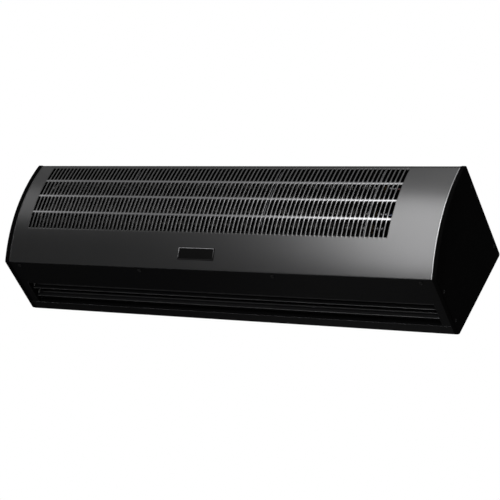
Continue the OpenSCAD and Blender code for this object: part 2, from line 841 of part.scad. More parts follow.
// ---- heater ----
heater_x0 = bulk_l + leg_gap + 2 * rod_r;
heater_out = 12;
heater_x1 = bay_x0 + heater_out;
bracket_in = 8;
bracket_x = [for (k = [2, 5]) rotor_x0 + k * rotor_l / rotor_sections + bracket_in];
fin_start = 10;
fin_end = 16;
fin_x0 = heater_x0 + fin_start;
fin_n = floor((bulk_r - fin_end - fin_x0) / fin_pitch);

module finned_leg(h) {
  translate([heater_x0, -leg_run, h * leg_gap / 2]) rotate([0, 90, 0]) rotate_extrude($fn = 32) {
    square([rod_r, heater_x1 - heater_x0]);
    for (i = [0:fin_n - 1]) let (x = fin_x0 + i * fin_pitch)
      if (min([for (b = bracket_x) abs(x + fin_t / 2 - b)]) > fin_t + sheet + 1)
        translate([0, x - heater_x0]) square([fin_r, fin_t]);
  }
}

module hairpin(k) {
  color("#7d7f80") translate([0, arc_y, arc_z]) rotate([-heater_angle(k), 0, 0]) {
    finned_leg(1);
    finned_leg(-1);
    translate([heater_x0, -leg_run, 0]) intersection() {
      rotate([90, 0, 0]) rotate_extrude($fn = 64) translate([leg_gap / 2, 0]) circle(r = rod_r, $fn = 32);
      translate([-leg_gap, -leg_gap, -leg_gap]) cube([leg_gap, 2 * leg_gap, 2 * leg_gap]);
    }
  }
}

module heater_upper() { hairpin(0); }
module heater_lower() { hairpin(1); }

bracket_gap = 8;
bracket_foot = 4;
bracket_foot_y = front_y(inner_z, panel_in_r) + flange_d + bracket_foot / 2;
module heater_brackets() {
  color(zinc) for (x = bracket_x) difference() {
    union() {
      along(x - sheet / 2, x + sheet / 2) {
        front_band(panel_in_r - bracket_gap, heater_r - fin_r, legs[3][1] - fin_r, flange_z - fit);
        translate([bracket_foot_y, legs[0][1]])
          square([flange_d + bracket_foot, inner_z - legs[0][1]]);
      }
      block([x - sheet / 2, bracket_foot_y, flange_z],
            [x + flange_d, bracket_foot_y + flange_d + bracket_foot, inner_z]);
    }
    for (p = legs) rod_x(x - sheet, x + flange_d + 1, p[0], p[1], rod_r + snug);
  }
}

module heater_fittings() {
  color("#b08d57") for (p = legs) difference() {
    union() {
      rod_x(bulk_r - fitting_out, bay_x0 + fitting_out, p[0], p[1], fitting_r);
      rod_x(bulk_r - fitting_out, bulk_r, p[0], p[1], fitting_flange_r);
      rod_x(bay_x0, bay_x0 + fitting_flange_t, p[0], p[1], fitting_flange_r);
    }
    rod_x(bulk_r - fitting_out - 1, bay_x0 + fitting_out + 1, p[0], p[1], rod_r + press);
  }
}

terminal_l = 14;
terminal_nut_t = 3;
terminal_nut_r = 0.9 * rod_r;
module heater_terminals() {
  color("silver") for (p = legs) {
    rod_x(heater_x1, heater_x1 + terminal_nut_t, p[0], p[1], rod_r);
    rod_x(heater_x1, heater_x1 + terminal_l, p[0], p[1], rod_r / 2);
    rod_x(heater_x1 + terminal_l - terminal_nut_t - 1, heater_x1 + terminal_l - 1,
      p[0], p[1], terminal_nut_r);
  }
}

// ---- electrical parts in the motor bay ----
can_in = 14;
can_x0 = bay_x0 + can_in;
can_y = axis_y + 25;
can_lead_l = 6;
can_lead_y = cap_can_r / 3;
clip_t = 1.2;
clip_hook = 8;
can_z = inner_z - 2 * clip_t - cap_can_r;
clip_w = 12;

module run_capacitor() {
  color("#d9dadb") {
    rod_x(can_x0, can_x0 + cap_can_l, can_y, can_z, cap_can_r);
    for (s = [-1, 1])
      rod_x(can_x0, can_x0 + cap_can_l + can_lead_l, can_y + s * can_lead_y, can_z, wire_r);
  }
}

module capacitor_clip() {
  x = can_x0 + cap_can_l / 2;
  color(zinc) {
    along(x - clip_w / 2, x + clip_w / 2) {
      difference() {
        translate([can_y, can_z]) circle(r = cap_can_r + clip_t, $fn = 64);
        translate([can_y, can_z]) circle(r = cap_can_r + press, $fn = 64);
      }
      translate([can_y - clip_hook / 2, can_z + cap_can_r + clip_t / 2])
        square([clip_hook, inner_z - can_z - cap_can_r - clip_t / 2]);
      translate([can_y - clip_w, inner_z - clip_t]) square([2 * clip_w, clip_t]);
    }
  }
}

back_y = -sheet;
block_l = 56;
block_h = 24;
block_d = 22;
block_foot_d = 15.4;
block_in = 16;
block_x0 = bay_x1 - block_in - block_l;
low_gap = 5;
low_z = floor_z + sheet + low_gap;
poles = 5;
pole_x = [for (i = [0:poles - 1]) block_x0 + (i + 0.5) * block_l / poles];
pole_r = 3;
pole_gap = 0.2;
pole_depth = 6;
pole_screw_in = 1.5;
drive_slot_w = 0.8;
drive_slot_d = 1;

module terminal_block() {
  color("#e8e4d8") difference() {
    union() {
      block([block_x0, back_y - block_foot_d, low_z], [block_x0 + block_l, back_y, low_z + block_h]);
      block([block_x0, back_y - block_d, low_z + block_h / 4],
            [block_x0 + block_l, back_y, low_z + block_h * 3 / 4]);
    }
    for (x = pole_x) translate([x, back_y - block_d + pole_depth, low_z + block_h / 2])
      rotate([90, 0, 0]) cylinder(h = pole_depth + 1, r = pole_r + pole_gap);
  }
}

module terminal_screws() {
  color("silver") for (x = pole_x)
    translate([x, back_y - block_d + pole_depth, low_z + block_h / 2]) rotate([90, 0, 0])
      difference() {
        cylinder(h = pole_depth - pole_screw_in, r = pole_r);
        translate([-pole_r, -drive_slot_w / 2, pole_depth - pole_screw_in - drive_slot_d])
          cube([2 * pole_r, drive_slot_w, 2 * drive_slot_d]);
      }
}

contactor_in = 16;
contactor_x0 = bay_x0 + contactor_in;
contactor_l = 45;
contactor_h = 36;
contactor_d = 38;
contactor_back_d = 23;
contactor_step_x = 4;
contactor_step_z = 8;
module contactor() {
  color("#d8d8d4") {
    block([contactor_x0, back_y - contactor_back_d, low_z],
          [contactor_x0 + contactor_l, back_y, low_z + contactor_h]);
    block([contactor_x0 + contactor_step_x, back_y - contactor_d, low_z + contactor_step_z],
          [contactor_x0 + contactor_l - contactor_step_x, back_y,
           low_z + contactor_h - contactor_step_z]);
  }
}

collar_w = 1.2;
collar_r = button_r + collar_w;
collar_t = 2;
well_d = 9;
cutout_r = 11;
cutout_h = 16;
cutout_ear = 5;
cutout_ear_w = 8;
cutout_ear_t = 2;
module thermal_cutout() {
  color("#2b2b2b") difference() {
    union() {
      rod_z(cutout_x, cutout_y, inner_z - cutout_h, inner_z, cutout_r);
      block([cutout_x - cutout_r - cutout_ear, cutout_y - cutout_ear_w / 2, inner_z - cutout_ear_t],
            [cutout_x + cutout_r + cutout_ear, cutout_y + cutout_ear_w / 2, inner_z]);
    }
    rod_z(cutout_x, cutout_y, inner_z - well_d, inner_z + 1, collar_r + button_gap);
  }
}

button_top_z = sheet_z + cap_proud - button_gap;
module reset_button() {
  color("#a01818") {
    rod_z(cutout_x, cutout_y, inner_z - button_gap - collar_t, button_top_z, button_r);
    rod_z(cutout_x, cutout_y, inner_z - button_gap - collar_t, inner_z - button_gap, collar_r);
    rod_z(cutout_x, cutout_y, inner_z - well_d + reset_travel + button_gap,
      inner_z - button_gap - collar_t / 2, button_r / 2);
  }
}

grommet_lip = 1.5;
grommet_lip_w = 2.5;
module cable_grommet() {
  color("#1d1d1d") translate([entry_x, entry_y, inner_z - grommet_lip]) rotate_extrude($fn = 64)
    difference() {
      translate([entry_r, 0])
        square([entry_hole_r - entry_r + grommet_lip_w, 2 * grommet_lip + sheet]);
      translate([entry_hole_r - snug, grommet_lip]) square([2 * grommet_lip_w, sheet]);
    }
}

clamp_z = axis_z + motor_r;
clamp_w = 24;
clamp_h = 12;
clamp_gap = 0.2;
module cord_clamp() {
  color("#2b2b2b") difference() {
    block([entry_x - clamp_w / 2, entry_y - clamp_w / 2, clamp_z],
          [entry_x + clamp_w / 2, back_y, clamp_z + clamp_h]);
    rod_z(entry_x, entry_y, clamp_z - 1, clamp_z + clamp_h + 1, entry_r + clamp_gap);
  }
}

stud_in = 30;
stud_x = bay_x1 - stud_in;
stud_z = -25;
stud_r = 2.5;
stud_l = 18;
stud_head_t = 1.5;
stud_nut_t = 4;
stud_nut_gap = 2.5;
module earth_stud() {
  color("#b08d57") translate([stud_x, back_y, stud_z]) rotate([90, 0, 0]) {
    cylinder(h = stud_l, r = stud_r);
    cylinder(h = stud_head_t, r = 2 * stud_r);
    for (k = [0, 1]) translate([0, 0, stud_head_t + fit + k * (stud_nut_t + stud_nut_gap)])
      difference() {
        cylinder(h = stud_nut_t, r = 1.8 * stud_r, $fn = 6);
        translate([0, 0, -1]) cylinder(h = stud_nut_t + 2, r = stud_r + press);
      }
  }
}

// ---- fasteners ----
module hanger_nuts() {
  color("silver") at_hangers() translate([0, 0, sheet_z - nut_l]) rotate_extrude($fn = 64) {
    translate([hanger_r, 0]) square([nut_body_r - hanger_r, nut_l]);
    translate([hanger_r, nut_l]) square([nut_body_r - hanger_r + nut_flange_w, nut_flange_t]);
    translate([hanger_r, nut_l - sheet - nut_bulge_h])
      square([nut_body_r - hanger_r + nut_bulge_w, nut_bulge_h]);
  }
}

drive_r = 0.8 * screw_r;
drive_floor = 0.5;
cap_screw_end = 4;
head_sink = 0.2;
module cap_screws() {
  color("#202020") for (s = [0, 1], p = cap_screw_yz) mirror([s, 0, 0]) difference() {
    union() {
      rod_x(end_plate_in - cap_screw_end, half_l - screw_head_h / 2, p[0], p[1], screw_r);
      rod_x(half_l - screw_head_h, half_l - head_sink, p[0], p[1], screw_head_r);
    }
    translate([half_l - screw_head_h + drive_floor, p[0], p[1]]) rotate([0, 90, 0])
      cylinder(h = screw_head_h, r = drive_r, $fn = 6);
  }
}

panel_screw_end = 3;
module panel_screws() {
  color("#202020") for (x = panel_screw_x) difference() {
    union() {
      rod_z(x, panel_screw_y, -sheet_z - screw_head_h / 2, -flange_z + panel_screw_end, screw_r);
      rod_z(x, panel_screw_y, -sheet_z - screw_head_h, -sheet_z, screw_head_r);
    }
    translate([x, panel_screw_y, -sheet_z - screw_head_h - drive_floor])
      cylinder(h = screw_head_h, r = drive_r, $fn = 6);
  }
}

// ---- internal wires ----
WIRE_SIDES = 8;
function spline(a, b, c, d, t) = 0.5 * (2 * b + (c - a) * t + (2 * a - 5 * b + 4 * c - d) * t * t
  + (3 * b - a - 3 * c + d) * t * t * t);
function smooth(p, n) = let (m = len(p) - 1) concat(
  [for (i = [0:m - 1], j = [0:n - 1]) spline(
    i == 0 ? 2 * p[0] - p[1] : p[i - 1], p[i], p[i + 1],
    i == m - 1 ? 2 * p[m] - p[m - 1] : p[i + 2], j / n)], [p[m]]);
function tangents(q, p) = let (m = len(q) - 1) [for (i = [0:m])
  i == 0 ? unit(p[1] - p[0]) : i == m ? unit(p[len(p) - 1] - p[len(p) - 2]) : unit(q[i + 1] - q[i - 1])];
function carry(n, t) = unit(n - (n * t) * t);
function sides(t, i, n) = i == len(t) ? [] : let (k = carry(n, t[i])) concat([k], sides(t, i + 1, k));

module wire(p, tint) {
  q = smooth(p, 5);
  t = tangents(q, p);
  n = sides(t, 0, carry([0.6, 0.5, 0.4], t[0]));
  m = len(q);
  rings = [for (i = [0:m - 1]) let (b = cross(t[i], n[i])) for (j = [0:WIRE_SIDES - 1])
    q[i] + wire_r * (cos(j * 360 / WIRE_SIDES) * n[i] + sin(j * 360 / WIRE_SIDES) * b)];
  walls = [for (i = [0:m - 2], j = [0:WIRE_SIDES - 1]) let (k = (j + 1) % WIRE_SIDES)
    [i * WIRE_SIDES + j, (i + 1) * WIRE_SIDES + j, (i + 1) * WIRE_SIDES + k, i * WIRE_SIDES + k]];
  start = [for (j = [0:WIRE_SIDES - 1]) j];
  end = [for (j = [WIRE_SIDES - 1:-1:0]) (m - 1) * WIRE_SIDES + j];
  color(tint) polyhedron(points = rings, faces = concat(walls, [start, end]));
}

over_z = (axis_z + motor_r + can_z - cap_can_r) / 2;
wire_top_z = low_z + contactor_h;
terminal_tip = heater_x1 + terminal_l;
wire_back_y = back_y - 20;
feed_in = 30;
feed_pitch = 8;
feed_1 = contactor_x0 + feed_in;
feed_2 = feed_1 + feed_pitch;
wire_rise = 12;
wire_bend = 8;
wire_step = 5;

module wire_heater_upper() {
  p = legs[0];
  wire([[feed_1, wire_back_y, wire_top_z], [feed_1, wire_back_y, wire_top_z + wire_rise],
    [feed_1, wire_back_y, axis_z], [feed_1, wire_back_y - wire_rise, over_z - wire_bend],
    [feed_1, axis_y, over_z + wire_r], [feed_1, cutout_y, over_z + wire_r],
    [feed_1 - 2 * wire_r, p[0] + wire_step, p[1] + wire_r],
    [terminal_tip + wire_step, p[0], p[1]], [terminal_tip, p[0], p[1]]], "#8a1f1f");
}

module wire_heater_lower() {
  p = legs[2];
  wire([[feed_2, wire_back_y, wire_top_z], [feed_2, wire_back_y, wire_top_z + wire_rise],
    [feed_2, wire_back_y, axis_z], [feed_2, wire_back_y - wire_rise, over_z - wire_bend],
    [feed_2, axis_y, over_z + wire_r], [feed_2, axis_y - motor_r, over_z - wire_rise],
    [feed_2 - wire_step, p[0] + wire_step, p[1] + wire_rise],
    [terminal_tip + wire_bend, p[0], p[1]], [terminal_tip, p[0], p[1]]], "#1f3f8a");
}

module wire_motor() {
  x0 = can_x0 + cap_can_l + can_lead_l;
  y0 = can_y - can_lead_y;
  x1 = motor_x1 - 2 * wire_step;
  wire([[x0, y0, can_z], [x0 + wire_step, y0, can_z],
    [x1 - wire_bend, y0 - wire_bend, can_z - 2 * wire_r],
    [x1, axis_y, over_z + wire_step], [x1, axis_y, axis_z + motor_r + wire_step],
    [x1, axis_y, axis_z + motor_r]], "#1f1f1f");
}

module wire_earth() {
  y = back_y - stud_l;
  x1 = stud_x - wire_step;
  y1 = y - wire_rise - wire_r;
  wire([[stud_x, y, stud_z], [stud_x, y - wire_step, stud_z],
    [stud_x - wire_r, y - wire_rise, stud_z - wire_rise],
    [x1, y1, floor_z + 2 * wire_rise], [x1, y1, floor_z + sheet + wire_bend],
    [x1, y1, floor_z + sheet]], "#7f9a1f");
}

module wire_supply() {
  z = low_z + block_h / 2;
  x0 = contactor_x0 + contactor_l;
  mid = (x0 + block_x0) / 2;
  y = back_y - wire_bend;
  lead = 2 * wire_r;
  wire([[x0, y, z], [x0 + lead, y, z], [mid, y, z + lead],
    [block_x0 - lead, y, z], [block_x0, y, z]], "#8a5a1f");
}

rear_housing();
front_panel();
outlet_plate();
left_end_plate();
right_end_plate();
left_end_cap();
right_end_cap();
badge_plate();
bearing_bulkhead();
motor_bulkhead();
bay_floor();
scroll();
tongue();
vane_bushes();
bearing_grommet();
bearing_outer_race();
bearing_balls();
motor_shield_front();
motor_shield_rear();
stator_core();
stator_windings();
motor_bushes();
motor_isolators();
motor_cradle();
motor_bolts();
cradle_screws();
heater_upper();
heater_lower();
heater_brackets();
heater_fittings();
heater_terminals();
run_capacitor();
capacitor_clip();
terminal_block();
terminal_screws();
contactor();
thermal_cutout();
cable_grommet();
cord_clamp();
earth_stud();
hanger_nuts();
cap_screws();
panel_screws();
wire_heater_upper();
wire_heater_lower();
wire_motor();
wire_earth();
wire_supply();
impeller();
drive_hub();
idle_stub();
motor_rotor();
motor_shaft();
bearing_inner_race();
vane_front();
vane_rear();
vane_front_pins();
vane_rear_pins();
reset_button();
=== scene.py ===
"""Looks of the wall-hung air curtain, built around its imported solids.

Every length is in metres, in the frame of the solids: X along the casing, +Y into the wall, +Z up.
"""

import json
import logging
import math
from contextlib import contextmanager
from dataclasses import dataclass
from enum import Enum
from functools import lru_cache
from itertools import chain
from typing import ClassVar, Iterable, Iterator, Sequence

import bmesh
import bpy
from mathutils import Matrix, Vector


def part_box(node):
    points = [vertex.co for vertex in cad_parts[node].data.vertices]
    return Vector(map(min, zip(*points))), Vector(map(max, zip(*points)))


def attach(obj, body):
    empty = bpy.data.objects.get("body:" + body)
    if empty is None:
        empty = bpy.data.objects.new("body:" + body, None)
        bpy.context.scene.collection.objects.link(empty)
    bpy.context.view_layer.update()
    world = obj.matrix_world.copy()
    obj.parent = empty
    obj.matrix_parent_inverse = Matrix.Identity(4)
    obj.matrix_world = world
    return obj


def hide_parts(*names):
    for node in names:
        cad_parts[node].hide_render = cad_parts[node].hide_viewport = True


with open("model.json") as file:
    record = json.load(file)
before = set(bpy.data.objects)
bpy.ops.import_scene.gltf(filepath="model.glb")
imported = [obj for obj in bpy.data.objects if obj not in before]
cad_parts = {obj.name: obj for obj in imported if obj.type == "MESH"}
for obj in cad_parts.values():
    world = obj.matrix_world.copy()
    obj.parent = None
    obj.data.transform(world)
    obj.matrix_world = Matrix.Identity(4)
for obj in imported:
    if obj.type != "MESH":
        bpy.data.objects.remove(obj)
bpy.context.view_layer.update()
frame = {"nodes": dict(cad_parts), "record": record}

LOG = logging.getLogger("air_curtain")
MM = 0.001
# The point attribute that paints light into a colour: above 0 a painted highlight, below 0 painted
# shade.
MARK = "polished"
SAME, ALIKE = 1e-6, 0.1 * MM
SOCKETS = {int: "Int", float: "Float", tuple: "Vector"}
Point = tuple[float, float, float]
Profile = list[tuple[float, float]]
Mesh, Object = bpy.types.Mesh, bpy.types.Object
Socket, Tree = bpy.types.NodeSocket, bpy.types.NodeTree


class Body(Enum):
    """The bodies of the frame that a piece can ride on."""

    CASING = "casing"
    ROLLER = "roller"
    FRONT_VANE = "front_vane"
    REAR_VANE = "rear_vane"
    RESET = "reset"


class Side(Enum):
    """An end of the casing, with the sign of its X."""

    LEFT = -1
    RIGHT = 1


# ---- nodes -------------------------------------------------------------------------------


class Graph:
    """Adds and links the nodes of one tree."""

    def __init__(self, tree: Tree) -> None:
        """Keeps the tree that is filled."""
        self.tree = tree

    def put(self, value: object, target: Socket) -> None:
        """Links a socket to the target, or sets the target's value."""
        if isinstance(value, Socket):
            self.tree.links.new(value, target)
        else:
            target.default_value = value

    def add(self, kind: str, inputs: dict | None = None, **settings: object) -> bpy.types.Node:
        """Adds one node.

        Args:
            kind: The node's type name.
            inputs: A value, or a socket to link from, for each input's name or number.
            settings: Properties of the node, set before its inputs.

        Returns:
            The new node.
        """
        node = self.tree.nodes.new(kind)
        for name, value in settings.items():
            setattr(node, name, value)
        for key, value in (inputs or {}).items():
            self.put(value, node.inputs[key])
        return node

    def math(self, operation: str, *terms: object) -> Socket:
        """Returns the result of a Math node with those numbers or sockets."""
        return self.add("ShaderNodeMath", dict(enumerate(terms)), operation=operation).outputs[0]

    def spread(
        self, value: object, low: float, high: float, start: float = 0.0, end: float = 1.0
    ) -> Socket:
        """Maps a value from one range to another, held at its ends.

        Args:
            value: The socket to map.
            low: What start becomes.
            high: What end becomes.
            start: The lowest value that counts.
            end: The highest value that counts.

        Returns:
            The result's socket.
        """
        inputs = {"Value": value, "From Min": start, "From Max": end, "To Min": low, "To Max": high}
        return self.add("ShaderNodeMapRange", inputs).outputs["Result"]

    def mix(self, share: object, first: object, second: object) -> Socket:
        """Returns a mix of two colours or sockets; the share is how much of the second shows."""
        inputs = {0: share}
        for number, value in ((6, first), (7, second)):
            inputs[number] = value if isinstance(value, Socket) else (*value, 1.0)
        return self.add("ShaderNodeMix", inputs, data_type="RGBA").outputs[2]

    def place(self) -> Socket:
        """Returns the socket of a shader's Object coordinates."""
        return self.add("ShaderNodeTexCoord").outputs["Object"]

    def noise(self, place: Socket, scale: float, detail: float) -> Socket:
        """Returns the value of a noise of that scale and detail."""
        inputs = {"Vector": place, "Scale": scale, "Detail": detail}
        return self.add("ShaderNodeTexNoise", inputs).outputs["Fac"]

    def vector(self, **parts: object) -> Socket:
        """Returns a vector of numbers or sockets, named x, y and z."""
        inputs = {name.upper(): value for name, value in parts.items()}
        return self.add("ShaderNodeCombineXYZ", inputs).outputs[0]


def open_group(
    name: str, kind: str, inputs: dict[str, object], outputs: dict[str, str]
) -> tuple[Graph, bpy.types.Node, bpy.types.Node]:
    """Starts a node group with named sockets.

    Args:
        name: The group's name.
        kind: Shader or Geometry.
        inputs: The default of each input, or its kind where it has none.
        outputs: The kind of each output.

    Returns:
        The group's graph, its input node and its output node.
    """
    tree = bpy.data.node_groups.new(name, f"{kind}NodeTree")
    for in_out, sockets in (("INPUT", inputs), ("OUTPUT", outputs)):
        for label, given in sockets.items():
            bare = isinstance(given, str)
            socket_type = f"NodeSocket{given if bare else SOCKETS[type(given)]}"
            socket = tree.interface.new_socket(label, in_out=in_out, socket_type=socket_type)
            if not bare:
                socket.default_value = given
    graph = Graph(tree)
    return graph, graph.add("NodeGroupInput"), graph.add("NodeGroupOutput")


class SurfaceEffects:
    """The shader groups that several finishes share, each built once."""

    def __init__(self) -> None:
        """Builds the groups for even grain, for lines drawn out along an axis and for lighter sharp
        edges, worn and with a painted highlight.
        """
        self.even = self._texture("even_grain", 2.0)
        self.drawn = self._texture("drawn_lines", 3.0)
        self.wear_and_sheen = self._wear_and_sheen()

    @staticmethod
    def _texture(name: str, detail: float) -> Tree:
        """Returns a group for a fine texture, stretched as the finish asks."""
        inputs, outputs = {"Stretch": (900.0, 900.0, 900.0)}, {"Value": "Float", "Height": "Float"}
        graph, given, result = open_group(name, "Shader", inputs, outputs)
        terms = {0: graph.place(), 1: given.outputs["Stretch"]}
        scaled = graph.add("ShaderNodeVectorMath", terms, operation="MULTIPLY").outputs[0]
        noise = graph.noise(scaled, 1.0, detail)
        graph.put(graph.spread(noise, 0.0, 1.0, 0.3, 0.7), result.inputs["Value"])
        graph.put(noise, result.inputs["Height"])
        return graph.tree

    @staticmethod
    def _wear_and_sheen() -> Tree:
        """Returns a group whose mask shows where a sharp edge lightens: finish worn off, and a
        painted highlight.
        """
        inputs = {"Width": 0.0006, "Amount": 0.5}
        graph, given, result = open_group("edge_wear", "Shader", inputs, {"Mask": "Float"})
        rounded = graph.add("ShaderNodeBevel", {"Radius": given.outputs["Width"]}, samples=4)
        terms = {0: rounded.outputs[0], 1: graph.add("ShaderNodeNewGeometry").outputs["Normal"]}
        alike = graph.add("ShaderNodeVectorMath", terms, operation="DOT_PRODUCT").outputs["Value"]
        edge = graph.spread(alike, 1.0, 0.0, 0.80, 0.99)
        patchy = graph.spread(graph.noise(graph.place(), 160.0, 3.0), 0.25, 1.0, 0.35, 0.6)
        mask = graph.math("MULTIPLY", graph.math("MULTIPLY", edge, patchy), given.outputs["Amount"])
        graph.put(mask, result.inputs["Mask"])
        return graph.tree


# ---- finishes ----------------------------------------------------------------------------


class Texture(Enum):
    """How the fine texture of a finish runs."""

    EVEN = (900.0, 900.0, 900.0)
    ALONG_X = (25.0, 1400.0, 1400.0)
    ROUND_X = (1600.0, 60.0, 60.0)


@dataclass(frozen=True)
class Finish:
    """A finish: what a surface is made of, coated with and how fine its texture is.

    Attributes:
        slot: The record's material slot, and the material's name.
        colour: The base colour.
        roughness: The mean roughness.
        metallic: 1 for bare metal, between for flake in paint.
        specular: The specular level.
        texture: How the texture runs.
        fineness: Scale of the texture against its usual one.
        relief: Depth of the texture, in metres.
        drift: How far the colour and roughness wander.
        wear_and_sheen: How bright sharp edges are, worn and with a painted highlight.
        bare: The colour of the lighter sharp edges, worn metal and painted highlight.
        cloud: Scale of the slow drift of the colour.
    """

    slot: str
    colour: Point
    roughness: float
    metallic: float = 0.0
    specular: float = 0.5
    texture: Texture = Texture.EVEN
    fineness: float = 1.0
    relief: float = 0.00002
    drift: float = 0.10
    wear_and_sheen: float = 0.0
    bare: Point = (0.30, 0.30, 0.31)
    cloud: float = 14.0

    def build(self, effects: SurfaceEffects) -> bpy.types.Material:
        """Returns the material, made with the shared shader groups."""
        material = bpy.data.materials.new(self.slot)
        material.use_nodes = True
        graph = Graph(material.node_tree)
        kind = effects.even if self.texture is Texture.EVEN else effects.drawn
        run = [part * self.fineness for part in self.texture.value]
        value, height = graph.add("ShaderNodeGroup", {"Stretch": run}, node_tree=kind).outputs
        span = self.roughness * self.drift * 1.5
        relief = {"Height": height, "Distance": self.relief, "Strength": 1.0}
        inputs = graph.tree.nodes["Principled BSDF"].inputs
        for name, part in (
            ("Base Color", self._colour(graph, effects, value)),
            ("Roughness", graph.spread(value, self.roughness - span, self.roughness + span)),
            ("Normal", graph.add("ShaderNodeBump", relief).outputs[0]),
            ("Metallic", self.metallic),
            ("Specular IOR Level", self.specular),
        ):
            graph.put(part, inputs[name])
        return material

    def _colour(self, graph: Graph, effects: SurfaceEffects, fine: Socket) -> Socket:
        """Returns the colour's socket: it wanders over the surface, and sharp edges lighten with
        wear and a painted highlight.
        """
        dark, light = (
            tuple(part * (1.0 + sign * self.drift) for part in self.colour) for sign in (-1, 1)
        )
        run = [self.cloud] * 3
        slow = graph.add("ShaderNodeGroup", {"Stretch": run}, node_tree=effects.even).outputs[0]
        share = graph.math("MULTIPLY_ADD", slow, 0.5, graph.math("MULTIPLY", fine, 0.5))
        colour = graph.mix(share, dark, light)
        if not self.wear_and_sheen:
            return colour
        # Sharp edges lighten: partly worn finish, partly a painted highlight along the edge.
        worn_and_lit = graph.add("ShaderNodeGroup", {"Amount": self.wear_and_sheen}, node_tree=effects.wear_and_sheen)
        return graph.mix(worn_and_lit.outputs["Mask"], colour, self.bare)


@dataclass(frozen=True)
class MarkedFinish(Finish):
    """A finish with painted highlights and painted shade where the mesh's attribute marks it.

    Attributes:
        painted_highlight: The painted highlight colour, where the attribute is 1.
        painted_shade: The painted shade colour, where the attribute is -1.
    """

    painted_highlight: Point = (0.22, 0.22, 0.225)
    painted_shade: Point = (0.002, 0.002, 0.002)

    def _colour(self, graph: Graph, effects: SurfaceEffects, fine: Socket) -> Socket:
        """Returns the finish's colour, mixed with the painted highlight colour and the painted
        shade colour.
        """
        plain = super()._colour(graph, effects, fine)
        share = graph.add("ShaderNodeAttribute", attribute_name=MARK).outputs["Fac"]
        # Painted shade where the attribute is below 0, a painted highlight where it is above 0.
        shade_share = graph.math("MAXIMUM", graph.math("MULTIPLY", share, -1.0), 0.0)
        polished = graph.math("MAXIMUM", share, 0.0)
        return graph.mix(polished, graph.mix(shade_share, plain, self.painted_shade), self.painted_highlight)


ALONG, ROUND = Texture.ALONG_X, Texture.ROUND_X
PANEL, BLACK = (0.0225, 0.0225, 0.0228), (0.0012, 0.0012, 0.0013)
CAP, HOUSING = (0.0009, 0.0009, 0.0009), (0.0017, 0.0017, 0.0018)
FINISHES = (
    MarkedFinish("panel_grey", PANEL, 0.31, 0.9, 0.40, drift=0.04, relief=0.000012),
    # Edge lightening on the case, the housing and the vanes is also a painted highlight along their
    # edges.
    Finish("case_black", BLACK, 0.42, specular=0.006, fineness=0.8, relief=0.00003, wear_and_sheen=0.10),
    Finish("housing_black", HOUSING, 0.42, 0.0, 0.007, fineness=0.8, relief=0.00003, wear_and_sheen=0.40),
    Finish("cap_black", CAP, 0.80, specular=0.005, fineness=1.3, relief=0.00005),
    MarkedFinish("badge", (0.001, 0.001, 0.001), 0.40, specular=0.02, relief=0.000004),
    Finish("zinc", (0.040, 0.040, 0.042), 0.50, 0.9, texture=ALONG, relief=0.00001),
    Finish("duct", (0.006, 0.006, 0.006), 0.60, specular=0.1, wear_and_sheen=0.05),
    Finish("vane", (0.009, 0.009, 0.0095), 0.36, 0.5, 0.3, ALONG, wear_and_sheen=0.35),
    Finish("roller", (0.016, 0.016, 0.017), 0.45, 0.8, texture=ALONG, wear_and_sheen=0.12),
    # The steel and bronze colours are darker than the bare metals: painted shade, so the parts
    # inside the casing read as dark as the shaded motor bay.
    Finish("steel", (0.055, 0.055, 0.058), 0.42, 1.0, texture=ROUND, relief=0.000006),
    Finish("laminations", (0.12, 0.12, 0.125), 0.45, 1.0, texture=ROUND, relief=0.00004),
    Finish("motor_alloy", (0.20, 0.205, 0.21), 0.50, 0.9, fineness=1.4, relief=0.00008),
    Finish("copper", (0.45, 0.18, 0.08), 0.32, 0.8, texture=ROUND, relief=0.00015),
    Finish("bronze", (0.13, 0.085, 0.042), 0.42, 1.0, fineness=2.0),
    Finish("rubber", (0.010, 0.010, 0.010), 0.80, specular=0.2, relief=0.00004),
    Finish("heater_steel", (0.030, 0.029, 0.028), 0.45, 0.9, drift=0.3),
    Finish("nylon", (0.055, 0.055, 0.053), 0.45, fineness=1.5),
    Finish("moulding_pale", (0.50, 0.48, 0.44), 0.50, fineness=1.2, relief=0.00003),
    Finish("moulding_dark", (0.02, 0.02, 0.02), 0.50, fineness=1.2, relief=0.00003),
    Finish("can", (0.22, 0.225, 0.23), 0.34, 1.0, texture=ALONG, relief=0.000006),
    Finish("screw_black", (0.0018, 0.0018, 0.0018), 0.55, 0.1, 0.04, wear_and_sheen=0.05),
    Finish("button_red", (0.36, 0.02, 0.02), 0.25, fineness=0.4, relief=0.000004),
    # The wire colours are darkened too: painted shade for the shaded motor bay.
    Finish("wire_red", (0.045, 0.004, 0.004), 0.42, fineness=0.7),
    Finish("wire_blue", (0.004, 0.010, 0.045), 0.42, fineness=0.7),
    Finish("wire_black", (0.015, 0.015, 0.015), 0.42, fineness=0.7),
    Finish("wire_green", (0.20, 0.28, 0.02), 0.42, fineness=0.7),
    Finish("wire_brown", (0.13, 0.05, 0.02), 0.42, fineness=0.7),
)
OWN_FINISH = {"rear_housing": "housing_black"}


class Wardrobe:
    """The materials by slot, and the slot of every solid."""

    def __init__(self) -> None:
        """Builds the materials and reads the record's slots."""
        effects = SurfaceEffects()
        self.materials = {finish.slot: finish.build(effects) for finish in FINISHES}
        self.slots = {row["node"]: row["material_slot"] for row in frame["record"]["subparts"]}

    def dress_solids(self) -> None:
        """Gives every solid the material of its slot."""
        for node, solid in frame["nodes"].items():
            solid.data.materials.clear()
            solid.data.materials.append(self[node])

    def __getitem__(self, node: str) -> bpy.types.Material:
        """Returns the material that a solid wears."""
        return self.materials[OWN_FINISH.get(node, self.slots[node])]


# ---- making pieces -----------------------------------------------------------------------


